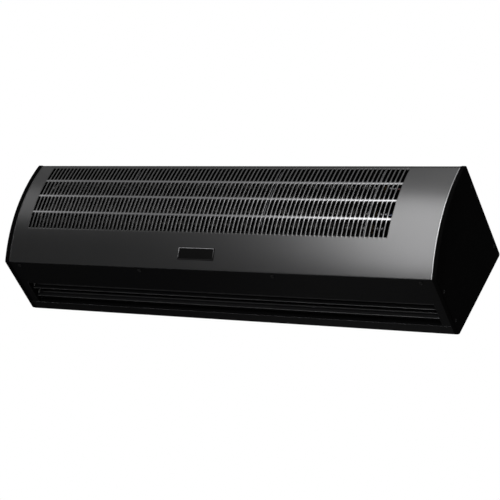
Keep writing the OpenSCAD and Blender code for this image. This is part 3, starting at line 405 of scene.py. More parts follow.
def new_object(name: str, mesh: Mesh) -> Object:
    """Returns a new object of that mesh, in the scene."""
    made = bpy.data.objects.new(name, mesh)
    bpy.context.scene.collection.objects.link(made)
    return made


def mesh_from(name: str, points: Iterable[Sequence[float]], faces: Iterable) -> Mesh:
    """Returns a new mesh of those points and faces."""
    mesh = bpy.data.meshes.new(name)
    mesh.from_pydata([tuple(point) for point in points], [], [tuple(face) for face in faces])
    mesh.update()
    return mesh


def evenly(start: float, end: float, steps: int) -> list[float]:
    """Returns numbers from the start to the end, in even steps."""
    return [start + (end - start) * k / steps for k in range(steps + 1)]


def ring_faces(rows: int, count: int, around: bool = True, along: bool = False) -> list[tuple]:
    """Returns the squares between so many rings of count points, each joined to the next.

    Args:
        rows: How many rings there are.
        count: How many points each has.
        around: Whether the last point of a ring joins its first.
        along: Whether the last ring joins the first.

    Returns:
        The faces.
    """
    return [
        tuple((i + a) % rows * count + (j + b) % count for a, b in ((0, 0), (0, 1), (1, 1), (1, 0)))
        for i in range(rows if along else rows - 1)
        for j in range(count if around else count - 1)
    ]


def loft(
    name: str, rings: Sequence, around: bool = True, along: bool = False, caps: bool = True
) -> Mesh:
    """Joins rings of points, each to the next.

    Args:
        name: Name of the mesh.
        rings: The rings, with as many points each.
        around: Whether the last point of a ring joins its first.
        along: Whether the last ring joins the first.
        caps: Whether the first and the last ring are filled, and the closed shell turned outwards.

    Returns:
        The mesh.
    """
    rows, count = len(rings), len(rings[0])
    faces = ring_faces(rows, count, around, along)
    if caps:
        faces += [tuple(range(k, k + count)) for k in (0, (rows - 1) * count)]
    mesh = mesh_from(name, chain(*rings), faces)
    if caps:
        tidy_mesh(mesh)
    return mesh


@contextmanager
def editing(mesh: Mesh) -> Iterator[bmesh.types.BMesh]:
    """Opens a mesh for edits and writes them back."""
    work = bmesh.new()
    work.from_mesh(mesh)
    yield work
    work.to_mesh(mesh)
    work.free()


def tidy_mesh(mesh: Mesh, near: float = 2e-6) -> None:
    """Merges points that lie nearer than that, and turns the closed shells outwards."""
    with editing(mesh) as work:
        bmesh.ops.remove_doubles(work, verts=work.verts, dist=near)
        bmesh.ops.recalc_face_normals(work, faces=work.faces)


def flatten(work: bmesh.types.BMesh, angle: float = 0.5) -> None:
    """Joins faces that lie in one plane within that angle in degrees."""
    bmesh.ops.dissolve_limit(
        work, angle_limit=math.radians(angle), verts=work.verts, edges=work.edges
    )


def shade(mesh: Mesh, angle: float) -> None:
    """Shades the mesh smooth, but for edges sharper than the angle in degrees."""
    mesh.shade_smooth()
    mesh.set_sharp_from_angle(angle=math.radians(angle))


def mark_points(mesh: Mesh, values: Sequence[float]) -> None:
    """Stores each point's painted light: a painted highlight above 0, painted shade below 0."""
    mesh.attributes.new(MARK, "FLOAT", "POINT").data.foreach_set("value", list(values))


def evaluated_mesh(made: Object) -> Mesh:
    """Returns a plain mesh of the object with its modifiers, which are then removed."""
    bpy.context.view_layer.update()
    seen = made.evaluated_get(bpy.context.evaluated_depsgraph_get())
    mesh = bpy.data.meshes.new_from_object(seen)
    made.modifiers.clear()
    return mesh


def grow(name: str, tree: Tree, base: Mesh, values: dict) -> Object:
    """Runs a geometry tree on a base mesh and keeps the plain result.

    Args:
        name: Name of the piece.
        tree: The geometry tree.
        base: The mesh that the tree starts from.
        values: The value of each named input.

    Returns:
        The piece, with no modifier left.
    """
    made = new_object(name, base)
    modifier = made.modifiers.new(tree.name, "NODES")
    modifier.node_group = tree
    for item in tree.interface.items_tree:
        if item.item_type == "SOCKET" and item.in_out == "INPUT" and item.name in values:
            modifier[item.identifier] = values[item.name]
    made.data = evaluated_mesh(made)
    made.data.name = name
    return made


@lru_cache(maxsize=None)
def size_of(node: str) -> tuple[Vector, Vector]:
    """Returns the lowest and highest corner of a solid."""
    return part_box(node)


def shells(node: str) -> list[tuple[Vector, Vector]]:
    """Returns the lowest and highest corner of every separate shell of a solid, along X."""
    boxes = []
    work = bmesh.new()
    work.from_mesh(frame["nodes"][node].data)
    bmesh.ops.remove_doubles(work, verts=work.verts, dist=SAME)
    left = set(work.verts)
    while left:
        group = [left.pop()]
        for vert in group:
            near = {end for edge in vert.link_edges for end in edge.verts} & left
            left -= near
            group += near
        parts = [[vert.co[i] for vert in group] for i in range(3)]
        boxes.append((Vector(map(min, parts)), Vector(map(max, parts))))
    work.free()
    return sorted(boxes, key=lambda box: tuple(box[0]))


def turned(name: str, outline: Profile, steps: int, closed: bool = False) -> Mesh:
    """Turns an outline about the X axis.

    Args:
        name: Name of the mesh.
        outline: Points as (radius, X).
        steps: Segments of the turn.
        closed: Whether the last point joins the first.

    Returns:
        The mesh.
    """
    turns = [math.tau * k / steps for k in range(steps)]
    rings = [[(x, r * math.cos(a), r * math.sin(a)) for r, x in outline] for a in turns]
    mesh = loft(name, rings, around=closed, along=True, caps=False)
    tidy_mesh(mesh)
    return mesh


def washer(inner: float, outer: float, x0: float, x1: float, edge: float) -> Profile:
    """Gives the closed outline of a ring with cut corners, as (radius, X) points.

    Args:
        inner: Inner radius.
        outer: Outer radius.
        x0: Where it starts.
        x1: Where it ends.
        edge: Size of the cut corners.

    Returns:
        The points.
    """
    near = [(inner, x0 + edge), (inner + edge, x0), (outer - edge, x0), (outer, x0 + edge)]
    return near + [(r, x0 + x1 - x) for r, x in reversed(near)]


def swept(name: str, path: Sequence[Vector], radius: float, sides: int) -> Mesh:
    """Runs a round tube along a path.

    Args:
        name: Name of the mesh.
        path: Points of the path.
        radius: Radius of the tube.
        sides: Sides of the tube.

    Returns:
        The closed mesh.
    """
    last = len(path) - 1
    ways = [(path[min(i + 1, last)] - path[max(i - 1, 0)]).normalized() for i in range(last + 1)]
    side = ways[0].orthogonal().normalized()
    turns = [math.tau * k / sides for k in range(sides)]
    rings = []
    for place, way in zip(path, ways):
        side = (side - way * side.dot(way)).normalized()
        other = way.cross(side)
        rings.append([place + radius * (math.cos(a) * side + math.sin(a) * other) for a in turns])
    return loft(name, rings)


def merged(name: str, meshes: Sequence[Mesh]) -> Mesh:
    """Returns one mesh of several, which are removed."""
    whole = bpy.data.meshes.new(name)
    with editing(whole) as work:
        for mesh in meshes:
            work.from_mesh(mesh)
            bpy.data.meshes.remove(mesh)
    return whole


def join_into(target: Object, *others: Object) -> None:
    """Adds other objects' meshes to the target's and removes those objects."""
    with editing(target.data) as work:
        for other in others:
            work.from_mesh(other.data)
            bpy.data.objects.remove(other)


def moved(mesh: Mesh, place: Vector) -> Mesh:
    """Returns the mesh, moved from the X axis to the Y and Z of a place."""
    mesh.transform(Matrix.Translation((0.0, place.y, place.z)))
    return mesh


class Patterns:
    """The geometry trees that repeat a small shape."""

    def __init__(self) -> None:
        """Builds the trees."""
        self.scatter = self._scatter()
        self.array = self._array()

    @staticmethod
    def _finish(graph: Graph, copies: Socket, ask: object, result: object) -> Tree:
        """Makes the copies real, gives them their material and ends the tree."""
        real = graph.add("GeometryNodeRealizeInstances", {"Geometry": copies}).outputs[0]
        inputs = {"Geometry": real, "Material": ask["Finish"]}
        dressed = graph.add("GeometryNodeSetMaterial", inputs).outputs[0]
        graph.put(dressed, result.inputs[0])
        return graph.tree

    @staticmethod
    def _copies(graph: Graph, ask: object, **inputs: object) -> Socket:
        """Returns the asked shape on every point."""
        shape = graph.add("GeometryNodeObjectInfo", {"Object": ask["Shape"]}).outputs["Geometry"]
        return graph.add("GeometryNodeInstanceOnPoints", {"Instance": shape, **inputs}).outputs[0]

    def _scatter(self) -> Tree:
        """Returns the tree that puts a shape on every point, turned as the point says."""
        inputs = {"Points": "Geometry", "Shape": "Object", "Finish": "Material"}
        outputs = {"Copies": "Geometry"}
        graph, given, result = open_group("on_points", "Geometry", inputs, outputs)
        ask = given.outputs
        turn = graph.add(
            "GeometryNodeInputNamedAttribute", {"Name": "turn"}, data_type="FLOAT_VECTOR"
        ).outputs["Attribute"]
        copies = self._copies(graph, ask, Points=ask["Points"], Rotation=turn)
        return self._finish(graph, copies, ask, result)

    def _array(self) -> Tree:
        """Returns the tree that repeats a shape along X and round an axis along X."""
        inputs = {"Base": "Geometry", "Shape": "Object", "Finish": "Material"}
        inputs |= {"Rows": 1, "Round": 1, "Start": 0.0, "Pitch": 0.01, "Axis Y": 0.0, "Axis Z": 0.0}
        inputs |= {"Skip First": 9.0, "Skip Second": 9.0, "Skip Width": 0.0}
        outputs = {"Copies": "Geometry"}
        graph, given, result = open_group("rows_round_axis", "Geometry", inputs, outputs)
        ask, calc = given.outputs, graph.math
        index = graph.add("GeometryNodeInputIndex").outputs[0]
        row = calc("FLOOR", calc("DIVIDE", calc("ADD", index, 0.5), ask["Round"]))
        step = calc("SUBTRACT", index, calc("MULTIPLY", row, ask["Round"]))
        x = calc("MULTIPLY_ADD", row, ask["Pitch"], ask["Start"])
        place = graph.vector(x=x, y=ask["Axis Y"], z=ask["Axis Z"])
        count = calc("MULTIPLY", ask["Rows"], ask["Round"])
        points = graph.add("GeometryNodePoints", {"Count": count, "Position": place}).outputs[0]
        turn = calc("MULTIPLY", calc("DIVIDE", step, ask["Round"]), math.tau)
        keep = 1.0
        for name in ("Skip First", "Skip Second"):
            away = calc("ABSOLUTE", calc("SUBTRACT", x, ask[name]))
            keep = calc("MULTIPLY", keep, calc("GREATER_THAN", away, ask["Skip Width"]))
        around = graph.vector(x=turn)
        copies = self._copies(graph, ask, Points=points, Selection=keep, Rotation=around)
        join = graph.add("GeometryNodeJoinGeometry", {0: ask["Base"]})
        graph.put(copies, join.inputs[0])
        return self._finish(graph, join.outputs[0], ask, result)


# ---- the casing's section ----------------------------------------------------------------


@dataclass(frozen=True)
class Section:
    """The casing seen from its end: a curved front between a level top and underside.

    Attributes:
        bottom_depth: Depth at the underside.
        bulge: How far the front stands out of its chord.
        proud: Height of the cap's rim over the sheets.
        sheet: Thickness of the sheet.
    """

    bottom_depth: float = 139 * MM
    bulge: float = 21.4 * MM
    proud: float = 2.0 * MM
    sheet: float = 1.2 * MM

    @property
    def height(self) -> float:
        """Height over the end caps."""
        low, high = size_of("right_end_cap")
        return high.z - low.z

    @property
    def top_depth(self) -> float:
        """Depth at the top."""
        return -size_of("right_end_cap")[0].y

    @property
    def chord(self) -> float:
        """Straight distance from the top edge of the front to its bottom edge."""
        return math.hypot(self.top_depth - self.bottom_depth, self.height)

    @property
    def radius(self) -> float:
        """Radius of the cap's curved edge."""
        return (self.chord**2 / 4 + self.bulge**2) / (2 * self.bulge)

    @property
    def centre(self) -> tuple[float, float]:
        """Centre of the curve, as Y and Z."""
        back = self.radius - self.bulge
        y = -(self.top_depth + self.bottom_depth) / 2 + self.height / self.chord * back
        return y, (self.top_depth - self.bottom_depth) / self.chord * back

    @property
    def panel_radius(self) -> float:
        """Radius of the front panel's outer face."""
        return self.radius - self.proud

    @property
    def edge_angle(self) -> float:
        """Angle of the panel's outer face at its top edge."""
        return self.panel_angle(size_of("front_panel")[1].z)

    def panel_angle(self, z: float) -> float:
        """Returns the angle of the panel's outer face at a height, in radians."""
        return math.asin((z - self.centre[1]) / self.panel_radius)

    def on_front(self, x: float, s: float, lift: float) -> Point:
        """Returns the point at X, s below the top edge along the curve, lifted off the panel."""
        turn = self.edge_angle - s / self.panel_radius
        reach = self.panel_radius + lift
        y, z = self.centre
        return x, y - reach * math.cos(turn), z + reach * math.sin(turn)

    def outline(self, inset: float, corner: float) -> Profile:
        """Gives the cap's outline with rounded corners, as (Y, Z) points.

        Args:
            inset: Distance inside the full outline.
            corner: Radius of the four corners.

        Returns:
            The points, clockwise seen along -X, from the top back corner.
        """
        steps, front_steps = 5, 48
        cy, cz = self.centre
        curve = self.radius - inset
        level = self.height / 2 - inset - corner
        top_y, low_y = (
            cy - math.sqrt((curve - corner) ** 2 - (z - cz) ** 2) for z in (level, -level)
        )
        top_turn = math.atan2(level - cz, top_y - cy) % math.tau
        low_turn = math.atan2(-level - cz, low_y - cy) % math.tau
        wall, right = -inset - corner, math.pi / 2
        arcs = [
            (wall, level, corner, evenly(right, 0.0, steps)),
            (wall, -level, corner, evenly(0.0, -right, steps)),
            (low_y, -level, corner, evenly(-right, low_turn - math.tau, steps)),
            (cy, cz, curve, evenly(low_turn, top_turn, front_steps)[1:-1]),
            (top_y, level, corner, evenly(top_turn, right, steps)),
        ]
        return [
            (y + r * math.cos(a), z + r * math.sin(a)) for y, z, r, turns in arcs for a in turns
        ]


SECTION = Section()


@dataclass(frozen=True)
class Softened:
    """Solids that show as copies with rounded edges.

    Attributes:
        width: Width of the rounding.
        nodes: The solids' names.
        body: The body that they move with.
        segments: Segments of the rounding.
    """

    width: float
    nodes: str
    body: Body = Body.CASING
    segments: int = 2


@dataclass(frozen=True)
class SubAssembly:
    """A group of pieces that belong together.

    Attributes:
        wardrobe: The materials.
        patterns: The trees that repeat shapes.
    """

    wardrobe: Wardrobe
    patterns: Patterns

    SOFT: ClassVar[tuple[Softened, ...]] = ()

    def build(self) -> None:
        """Makes and seats the group's pieces."""
        for row in self.SOFT:
            for node in row.nodes.split():
                self.soften(node, row.width, row.body, row.segments)
        self.model()

    def model(self) -> None:
        """Makes and seats the pieces that are modelled anew."""

    def seat(self, made: Object, body: Body, node: str) -> None:
        """Lets a piece ride on its body and stand for its solid.

        Args:
            made: The finished piece.
            body: The body that it moves with.
            node: The solid that it replaces, which gives its material.
        """
        made.data.materials.clear()
        made.data.materials.append(self.wardrobe[node])
        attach(made, body.value)
        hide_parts(node)
        LOG.info("%s: %d faces", made.name, len(made.data.polygons))

    def keep(self, made: Object, node: str, angle: float = 35.0, body: Body = Body.CASING) -> None:
        """Shades a piece, with edges sharper than the angle in degrees left sharp, and seats it."""
        shade(made.data, angle)
        self.seat(made, body, node)

    def soften(self, node: str, width: float, body: Body, segments: int) -> None:
        """Replaces a solid by a copy with edges rounded to that width, in so many segments."""
        sharp = 32.0
        mesh = frame["nodes"][node].data.copy()
        mesh.materials.clear()
        with editing(mesh) as work:
            bmesh.ops.remove_doubles(work, verts=work.verts, dist=SAME)
            flatten(work)
        made = new_object(f"{node}_soft", mesh)
        bevel = made.modifiers.new("rounding", "BEVEL")
        bevel.width = width
        bevel.segments = segments
        bevel.limit_method = "ANGLE"
        bevel.angle_limit = math.radians(sharp)
        bevel.harden_normals = True
        shade(mesh, sharp)
        made.data = evaluated_mesh(made)
        self.seat(made, body, node)

    def repeat(
        self, name: str, node: str, shape: Mesh, base: Mesh, axis: Vector, **values: object
    ) -> Object:
        """Repeats a shape in rows and round an axis.

        Args:
            name: Name of the piece.
            node: The solid that it stands for.
            shape: The mesh that is repeated.
            base: A mesh that is joined to the copies.
            axis: A point of the axis, which runs along X.
            values: Further inputs of the array tree, with underscores for spaces.

        Returns:
            The piece.
        """
        inputs = {key.replace("_", " ").title(): value for key, value in values.items()}
        inputs |= {"Axis Y": axis.y, "Axis Z": axis.z, "Finish": self.wardrobe[node]}
        return self._grown(name, self.patterns.array, shape, base, inputs)

    @staticmethod
    def _grown(name: str, tree: Tree, shape: Mesh, base: Mesh, inputs: dict) -> Object:
        """Returns the piece that a tree makes of a shape, a base and further inputs."""
        item = new_object("shape", shape)
        made = grow(name, tree, base, {"Shape": item, **inputs})
        bpy.data.objects.remove(item)
        return made

    def scatter(self, name: str, shape: Mesh, places: Sequence[tuple[Sequence, Point]]) -> Object:
        """Puts a shape at each place.

        Args:
            name: Name of the piece.
            shape: The mesh that is repeated.
            places: A point and a turn about X, Y and Z for each copy.

        Returns:
            The piece.
        """
        points = mesh_from(name, [place for place, _ in places], [])
        turn = points.attributes.new("turn", "FLOAT_VECTOR", "POINT")
        turn.data.foreach_set("vector", [part for _, angles in places for part in angles])
        return self._grown(name, self.patterns.scatter, shape, points, {})


# ---- front panel -------------------------------------------------------------------------


@dataclass(frozen=True)
class FrontPanel(SubAssembly):
    """The curved sheet with its rows of slots, pressed flat and then rolled.

    The flat sheet lies in (x, t, d): t is 0 at the top edge and falls, d is 0 on the outer face.

    Attributes:
        slot_width: Width of one slot.
        slot_length: Length of one slot along the curve.
        pitch: Distance between slots.
        row_pitch: Distance between rows.
        rows: Number of rows.
        first_row: Distance from the top edge to the first row.
        blank_left: Bare length at the left end of the casing.
        columns: Slots in a row.
        cut: Size of the cut edge round the sheet.
        rim: Width of the rolled edge of a slot.
        bar_highlight: How bright the painted highlight is on the bars between slots.
        strip_highlight: How bright it is on the strips between rows.
        painted_shade: How dark the painted shade is on the walls inside a slot and along the top
            edge.
        corner: Cut across the corners of a slot.
        hem_height: How far the hem at each end stands up.
        hem_width: Width of the hem.
        hem_in: Distance from the hem to the cap's rim.
        hem_highlight: How bright the painted highlight is on the right-hand hem.
        flange: Depth of the folded edges.
        lip: Width of the painted dark band along the top edge.
    """

    slot_width: float = 6.5 * MM
    slot_length: float = 33.6 * MM
    pitch: float = 10.0 * MM
    row_pitch: float = 39.7 * MM
    rows: int = 4
    first_row: float = 8.6 * MM
    blank_left: float = 48.4 * MM
    columns: int = 88
    cut: float = 0.4 * MM
    rim: float = 0.4 * MM
    bar_highlight: float = 0.03
    strip_highlight: float = 0.4
    painted_shade: float = 0.9
    corner: float = 0.9 * MM
    hem_height: float = 0.45 * MM
    hem_width: float = 2.6 * MM
    hem_in: float = 1.0 * MM
    hem_highlight: float = 0.5
    flange: float = 15.0 * MM
    lip: float = 3.2 * MM

    CELL: ClassVar[int] = 4

    @property
    def field_x(self) -> float:
        """X of the left side of the slotted field."""
        cap_end = size_of("left_end_cap")[0].x
        return cap_end + self.blank_left - (self.pitch - self.slot_width) / 2

    @property
    def field_t(self) -> float:
        """Top of the slotted field on the flat sheet."""
        return -(self.first_row - (self.row_pitch - self.slot_length) / 2)

    @property
    def length(self) -> float:
        """Height of the flat sheet, along the curve."""
        turn = SECTION.edge_angle - SECTION.panel_angle(size_of("front_panel")[0].z)
        return turn * SECTION.panel_radius

    @property
    def hem_middle(self) -> float:
        """Distance of the hems' middle lines from the middle of the casing."""
        return size_of("right_end_cap")[0].x - self.hem_in - self.hem_width / 2

    def _slot(self, grown: float, t_steps: Sequence[float]) -> Profile:
        """Returns a slot's outline, grown outwards, with a point for each step of its cell."""
        w, l, cut = self.slot_width / 2 + grown, self.slot_length / 2 + grown, self.corner
        side = [-l + cut, *(t / self.row_pitch * 2 * (l - cut) for t in t_steps[1:-1]), l - cut]
        end = [w - cut, 0.0, cut - w]
        half = [(w, t) for t in side] + [(x, l) for x in end]
        return half + [(-w, t) for t in reversed(side)] + [(x, -l) for x in reversed(end)]

    def _cell(self) -> Object:
        """Returns one cell of the field: a slot with a rolled rim in a piece of sheet."""
        right, top = self.pitch / 2, self.row_pitch / 2
        x_steps, t_steps = evenly(-right, right, self.CELL), evenly(-top, top, self.CELL)
        half = [(right, t) for t in t_steps] + [(x, top) for x in reversed(x_steps[1:-1])]
        outer = half + [(-x, -t) for x, t in half]
        slot, rim = self._slot(0.0, t_steps), self._slot(self.rim, t_steps)
        back = -SECTION.sheet
        # Each ring's last value paints light: a painted highlight on the bars, painted shade on the
        # walls inside the slot.
        rings = (
            (outer, 0.0, self.bar_highlight),
            (rim, 0.0, 0.0),
            # The walls inside the slot: painted shade.
            (slot, -0.7 * self.rim, -self.painted_shade),
            (slot, back, -self.painted_shade),
            (outer, back, 0.0),
        )
        lines = [[(x, t, depth) for x, t in line] for line, depth, _ in rings]
        mesh = loft("slot_cell", lines, caps=False)
        # The strips between rows get a brighter painted highlight than the bars.
        across = top - ALIKE
        marks = [
            self.strip_highlight if depth == 0.0 and abs(t) > across else mark
            for line, depth, mark in rings
            for _, t in line
        ]
        mark_points(mesh, marks)
        return new_object("slot_cell", mesh)

    def _hem(self, x: float) -> float:
        """Returns how far the outer face stands up at that X."""
        away = abs(abs(x) - self.hem_middle) / (self.hem_width / 2)
        return self.hem_height * math.sqrt(max(0.0, 1.0 - away * away))

    def _mark(self, place: Vector) -> float:
        """Returns the painted light of a point of the bare sheet: a painted highlight on the
        right-hand hem, a painted dark band on top.
        """
        # A painted dark band along the top edge, and a painted highlight on the right-hand hem
        # only.
        if place.y > -self.lip:
            return -self.painted_shade
        return max(0.0, place.z) / self.hem_height * self.hem_highlight if place.x > 0.0 else 0.0

    def _blank(self) -> Mesh:
        """Returns the bare sheet round the slotted field, with its back and its cut edges."""
        end, cut, length = size_of("front_panel")[1].x, self.cut, self.length
        turns = evenly(math.pi, 0.0, steps=8)
        hem = [self.hem_middle + self.hem_width / 2 * math.cos(turn) for turn in turns]
        foot = hem[0] - cut
        field_end = self.field_x + self.columns * self.pitch
        field_low = self.field_t - self.rows * self.row_pitch
        xs = [-end, -end + cut, *(-x for x in reversed(hem)), -foot]
        xs += evenly(self.field_x, field_end, self.columns * self.CELL)
        xs += evenly(field_end, foot, steps=10)[1:] + hem + [end - cut, end]
        ts = [0.0, -cut, -2 * cut, -self.lip]
        ts += evenly(self.field_t, field_low, self.rows * self.CELL)
        ts += evenly(field_low, cut - length, steps=8)[1:-1]
        ts += [2 * cut - length, cut - length, -length]
        wide, tall = len(xs), len(ts)
        shift = wide * tall
        front, faces = [], []
        for j, t in enumerate(ts):
            for i, x in enumerate(xs):
                border = i in (0, wide - 1) or j in (0, tall - 1)
                front.append((x, t, -0.6 * cut if border else self._hem(x)))
                if i == wide - 1 or j == tall - 1:
                    continue
                in_x = self.field_x < (x + xs[i + 1]) / 2 < field_end
                if in_x and field_low < (t + ts[j + 1]) / 2 < self.field_t:
                    continue
                a = j * wide + i
                square = (a, a + wide, a + wide + 1, a + 1)
                faces += [square, tuple(shift + k for k in reversed(square))]
        back = [(x, t, -SECTION.sheet) for x, t, _ in front]
        loop = [*range(wide), *range(2 * wide - 1, shift, wide)]
        loop += [*range(shift - 2, shift - wide - 1, -1), *range(shift - 2 * wide, 0, -wide)]
        faces += [(a, b, shift + b, shift + a) for a, b in zip(loop, loop[1:] + loop[:1])]
        mesh = mesh_from("front_panel_skin", front + back, faces)
        with editing(mesh) as work:
            loose = [vert for vert in work.verts if not vert.link_faces]
            bmesh.ops.delete(work, geom=loose, context="VERTS")
        mark_points(mesh, [self._mark(vert.co) for vert in mesh.vertices])
        return mesh

    @staticmethod
    def _tree() -> Tree:
        """Returns the tree that sets the cells out in rows and rolls the sheet."""
        inputs = {"Sheet": "Geometry", "Cell": "Object", "Finish": "Material"}
        inputs |= {"Columns": 1, "Rows": 1, "Pitch": 0.01, "Row Pitch": 0.04, "Radius": 1.0}
        inputs |= {"Field X": 0.0, "Field T": 0.0, "Centre Y": 0.0, "Centre Z": 0.0}
        inputs |= {"Edge Angle": 0.0}
        outputs = {"Panel": "Geometry"}
        graph, given, result = open_group("slots_and_roll", "Geometry", inputs, outputs)
        ask, calc = given.outputs, graph.math

        def step(kind: str, **inputs: object) -> Socket:
            """Returns the geometry that a node makes."""
            return graph.add(f"GeometryNode{kind}", inputs).outputs[0]

        flat = graph.add("ShaderNodeSeparateXYZ", {0: step("InputPosition")}).outputs
        sizes, middles, rooms = {}, {}, []
        for axis, place, start, count, pitch, sign in (
            ("X", flat["X"], "Field X", "Columns", "Pitch", 1.0),
            ("Y", flat["Y"], "Field T", "Rows", "Row Pitch", -1.0),
        ):
            half = calc("MULTIPLY", calc("MULTIPLY", ask[count], 0.5), ask[pitch])
            middle = calc("MULTIPLY_ADD", half, sign, ask[start])
            sizes[f"Size {axis}"] = calc("SUBTRACT", calc("MULTIPLY", half, 2.0), ask[pitch])
            sizes[f"Vertices {axis}"] = ask[count]
            middles[axis] = middle
            away = calc("ABSOLUTE", calc("SUBTRACT", place, middle))
            rooms.append(calc("SUBTRACT", half, away))
        grid = graph.add("GeometryNodeMeshGrid", sizes).outputs["Mesh"]
        grid = step("Transform", Geometry=grid, Translation=graph.vector(**middles))
        cell = graph.add("GeometryNodeObjectInfo", {"Object": ask["Cell"]}).outputs["Geometry"]
        copies = step("InstanceOnPoints", Points=grid, Instance=cell)
        copies = step("RealizeInstances", Geometry=copies)
        join = graph.add("GeometryNodeJoinGeometry", {0: ask["Sheet"]})
        graph.put(copies, join.inputs[0])
        near, beside = 0.01 * MM, 0.2 * MM
        whole = step("MergeByDistance", Geometry=join.outputs[0], Distance=near)
        # Painted light and shade are cleared along the border of the slotted field.
        mark = graph.add("GeometryNodeInputNamedAttribute", {"Name": MARK}).outputs["Attribute"]
        border = calc("COMPARE", calc("MINIMUM", *rooms), 0.0, beside)
        mark = calc("MULTIPLY", mark, calc("SUBTRACT", 1.0, border))
        whole = step("StoreNamedAttribute", Geometry=whole, Name=MARK, Value=mark)
        turn = calc("ADD", ask["Edge Angle"], calc("DIVIDE", flat["Y"], ask["Radius"]))
        reach = calc("ADD", ask["Radius"], flat["Z"])
        y = calc("SUBTRACT", ask["Centre Y"], calc("MULTIPLY", reach, calc("COSINE", turn)))
        z = calc("MULTIPLY_ADD", reach, calc("SINE", turn), ask["Centre Z"])
        bent = step("SetPosition", Geometry=whole, Position=graph.vector(x=flat["X"], y=y, z=z))
        bent = step("SetMaterial", Geometry=bent, Material=ask["Finish"])
        graph.put(bent, result.inputs["Panel"])
        return graph.tree

    def _flanges(self) -> Object:
        """Returns the folded edges at the top and the bottom, hidden inside the casing."""
        end = size_of("outlet_plate")[1].x - self.flange
        cy, cz = SECTION.centre
        inner = SECTION.panel_radius - SECTION.sheet / 2
        half = size_of("front_panel")[1].z
        folds = []
        for low in (half - 2 * SECTION.sheet, SECTION.sheet - half):
            heights = (low, low + SECTION.sheet)
            fronts = [cy - math.sqrt(inner**2 - (z - cz) ** 2) for z in heights]
            back = max(fronts) + self.flange
            line = [*zip(fronts, heights), *((back, z) for z in reversed(heights))]
            folds.append(loft("fold", [[(x, *point) for point in line] for x in (-end, end)]))
        mesh = merged("front_panel_flanges", folds)
        mark_points(mesh, [0.0] * len(mesh.vertices))
        return new_object("front_panel_flanges", mesh)

    def model(self) -> None:
        """Makes and seats the panel."""
        cell = self._cell()
        inputs = {
            "Cell": cell,
            "Columns": self.columns,
            "Rows": self.rows,
            "Pitch": self.pitch,
            "Row Pitch": self.row_pitch,
            "Field X": self.field_x,
            "Field T": self.field_t,
            "Radius": SECTION.panel_radius,
            "Centre Y": SECTION.centre[0],
            "Centre Z": SECTION.centre[1],
            "Edge Angle": SECTION.edge_angle,
            "Finish": self.wardrobe["front_panel"],
        }
        panel = grow("front_panel_slotted", self._tree(), self._blank(), inputs)
        bpy.data.objects.remove(cell)
        join_into(panel, self._flanges())
        self.keep(panel, "front_panel", angle=50.0)


# ---- the rest of the casing --------------------------------------------------------------


@dataclass(frozen=True)
class EndCap(SubAssembly):
    """A moulded cap with rounded corners and edges.

    Attributes:
        side: The end that it closes.
        corner: Radius of the corners of its outline.
        edge: Radius of the edge round its face.
        wall: Thickness of its face.
        lap: Thickness of the rim that laps over the sheets.
        small: Size of the cut edges of that rim, and of the wells.
        screw_depth: Depth of the wells for the screw heads.
        well_gap: Space round a screw head.
    """

    side: Side = Side.RIGHT
    corner: float = 5.0 * MM
    edge: float = 1.4 * MM
    wall: float = 2.0 * MM
    lap: float = 1.7 * MM
    small: float = 0.3 * MM
    screw_depth: float = 1.8 * MM
    well_gap: float = 0.2 * MM

    def model(self) -> None:
        """Makes and seats the cap."""
        node = f"{self.side.name.lower()}_end_cap"
        inner, outer = sorted(abs(corner.x) for corner in size_of(node))
        made = new_object(f"{node}_moulding", self._shell(outer, inner))
        wells = new_object("wells", self._wells(outer))
        cut = made.modifiers.new("wells", "BOOLEAN")
        cut.operation = "DIFFERENCE"
        cut.solver = "EXACT"
        cut.object = wells
        made.data = evaluated_mesh(made)
        bpy.data.objects.remove(wells)
        self.keep(made, node, angle=40.0)

    def _shell(self, outer: float, inner: float) -> Mesh:
        """Returns the cap between those distances from the middle of the casing."""
        small, edge, lap = self.small, self.edge, self.lap
        turns = evenly(0.0, math.pi / 2, steps=4)
        rings = [(outer - edge * (1 - math.cos(a)), edge * (1 - math.sin(a))) for a in turns]
        rings += [(inner + small, 0.0), (inner, small), (inner, lap - small)]
        rings += [(inner + small, lap), (outer - self.wall, lap)]
        lines = []
        for x, inset in rings:
            line = SECTION.outline(inset, max(self.corner - inset, small))
            lines.append([(self.side.value * x, y, z) for y, z in line])
        return loft("moulding", lines)

    def _wells(self, outer: float) -> Mesh:
        """Returns the cutters for the screw wells."""
        start, end, rim = outer - self.screw_depth, outer + self.screw_depth, self.small
        turn = Matrix.Rotation(0.0 if self.side is Side.RIGHT else math.pi, 4, "Z")
        cutters = []
        for low, high in shells("cap_screws"):
            if low.x * self.side.value > 0:
                radius = (high.y - low.y) / 2 + self.well_gap
                wide = radius + 2 * rim
                outline = [(0.0, start), (radius, start), (radius, outer - rim)]
                outline += [(wide, outer + rim), (wide, end), (0.0, end)]
                cutter = turned("well", outline, steps=32)
                cutter.transform(turn)
                cutters.append(moved(cutter, (low + high) / 2))
        return merged("wells", cutters)


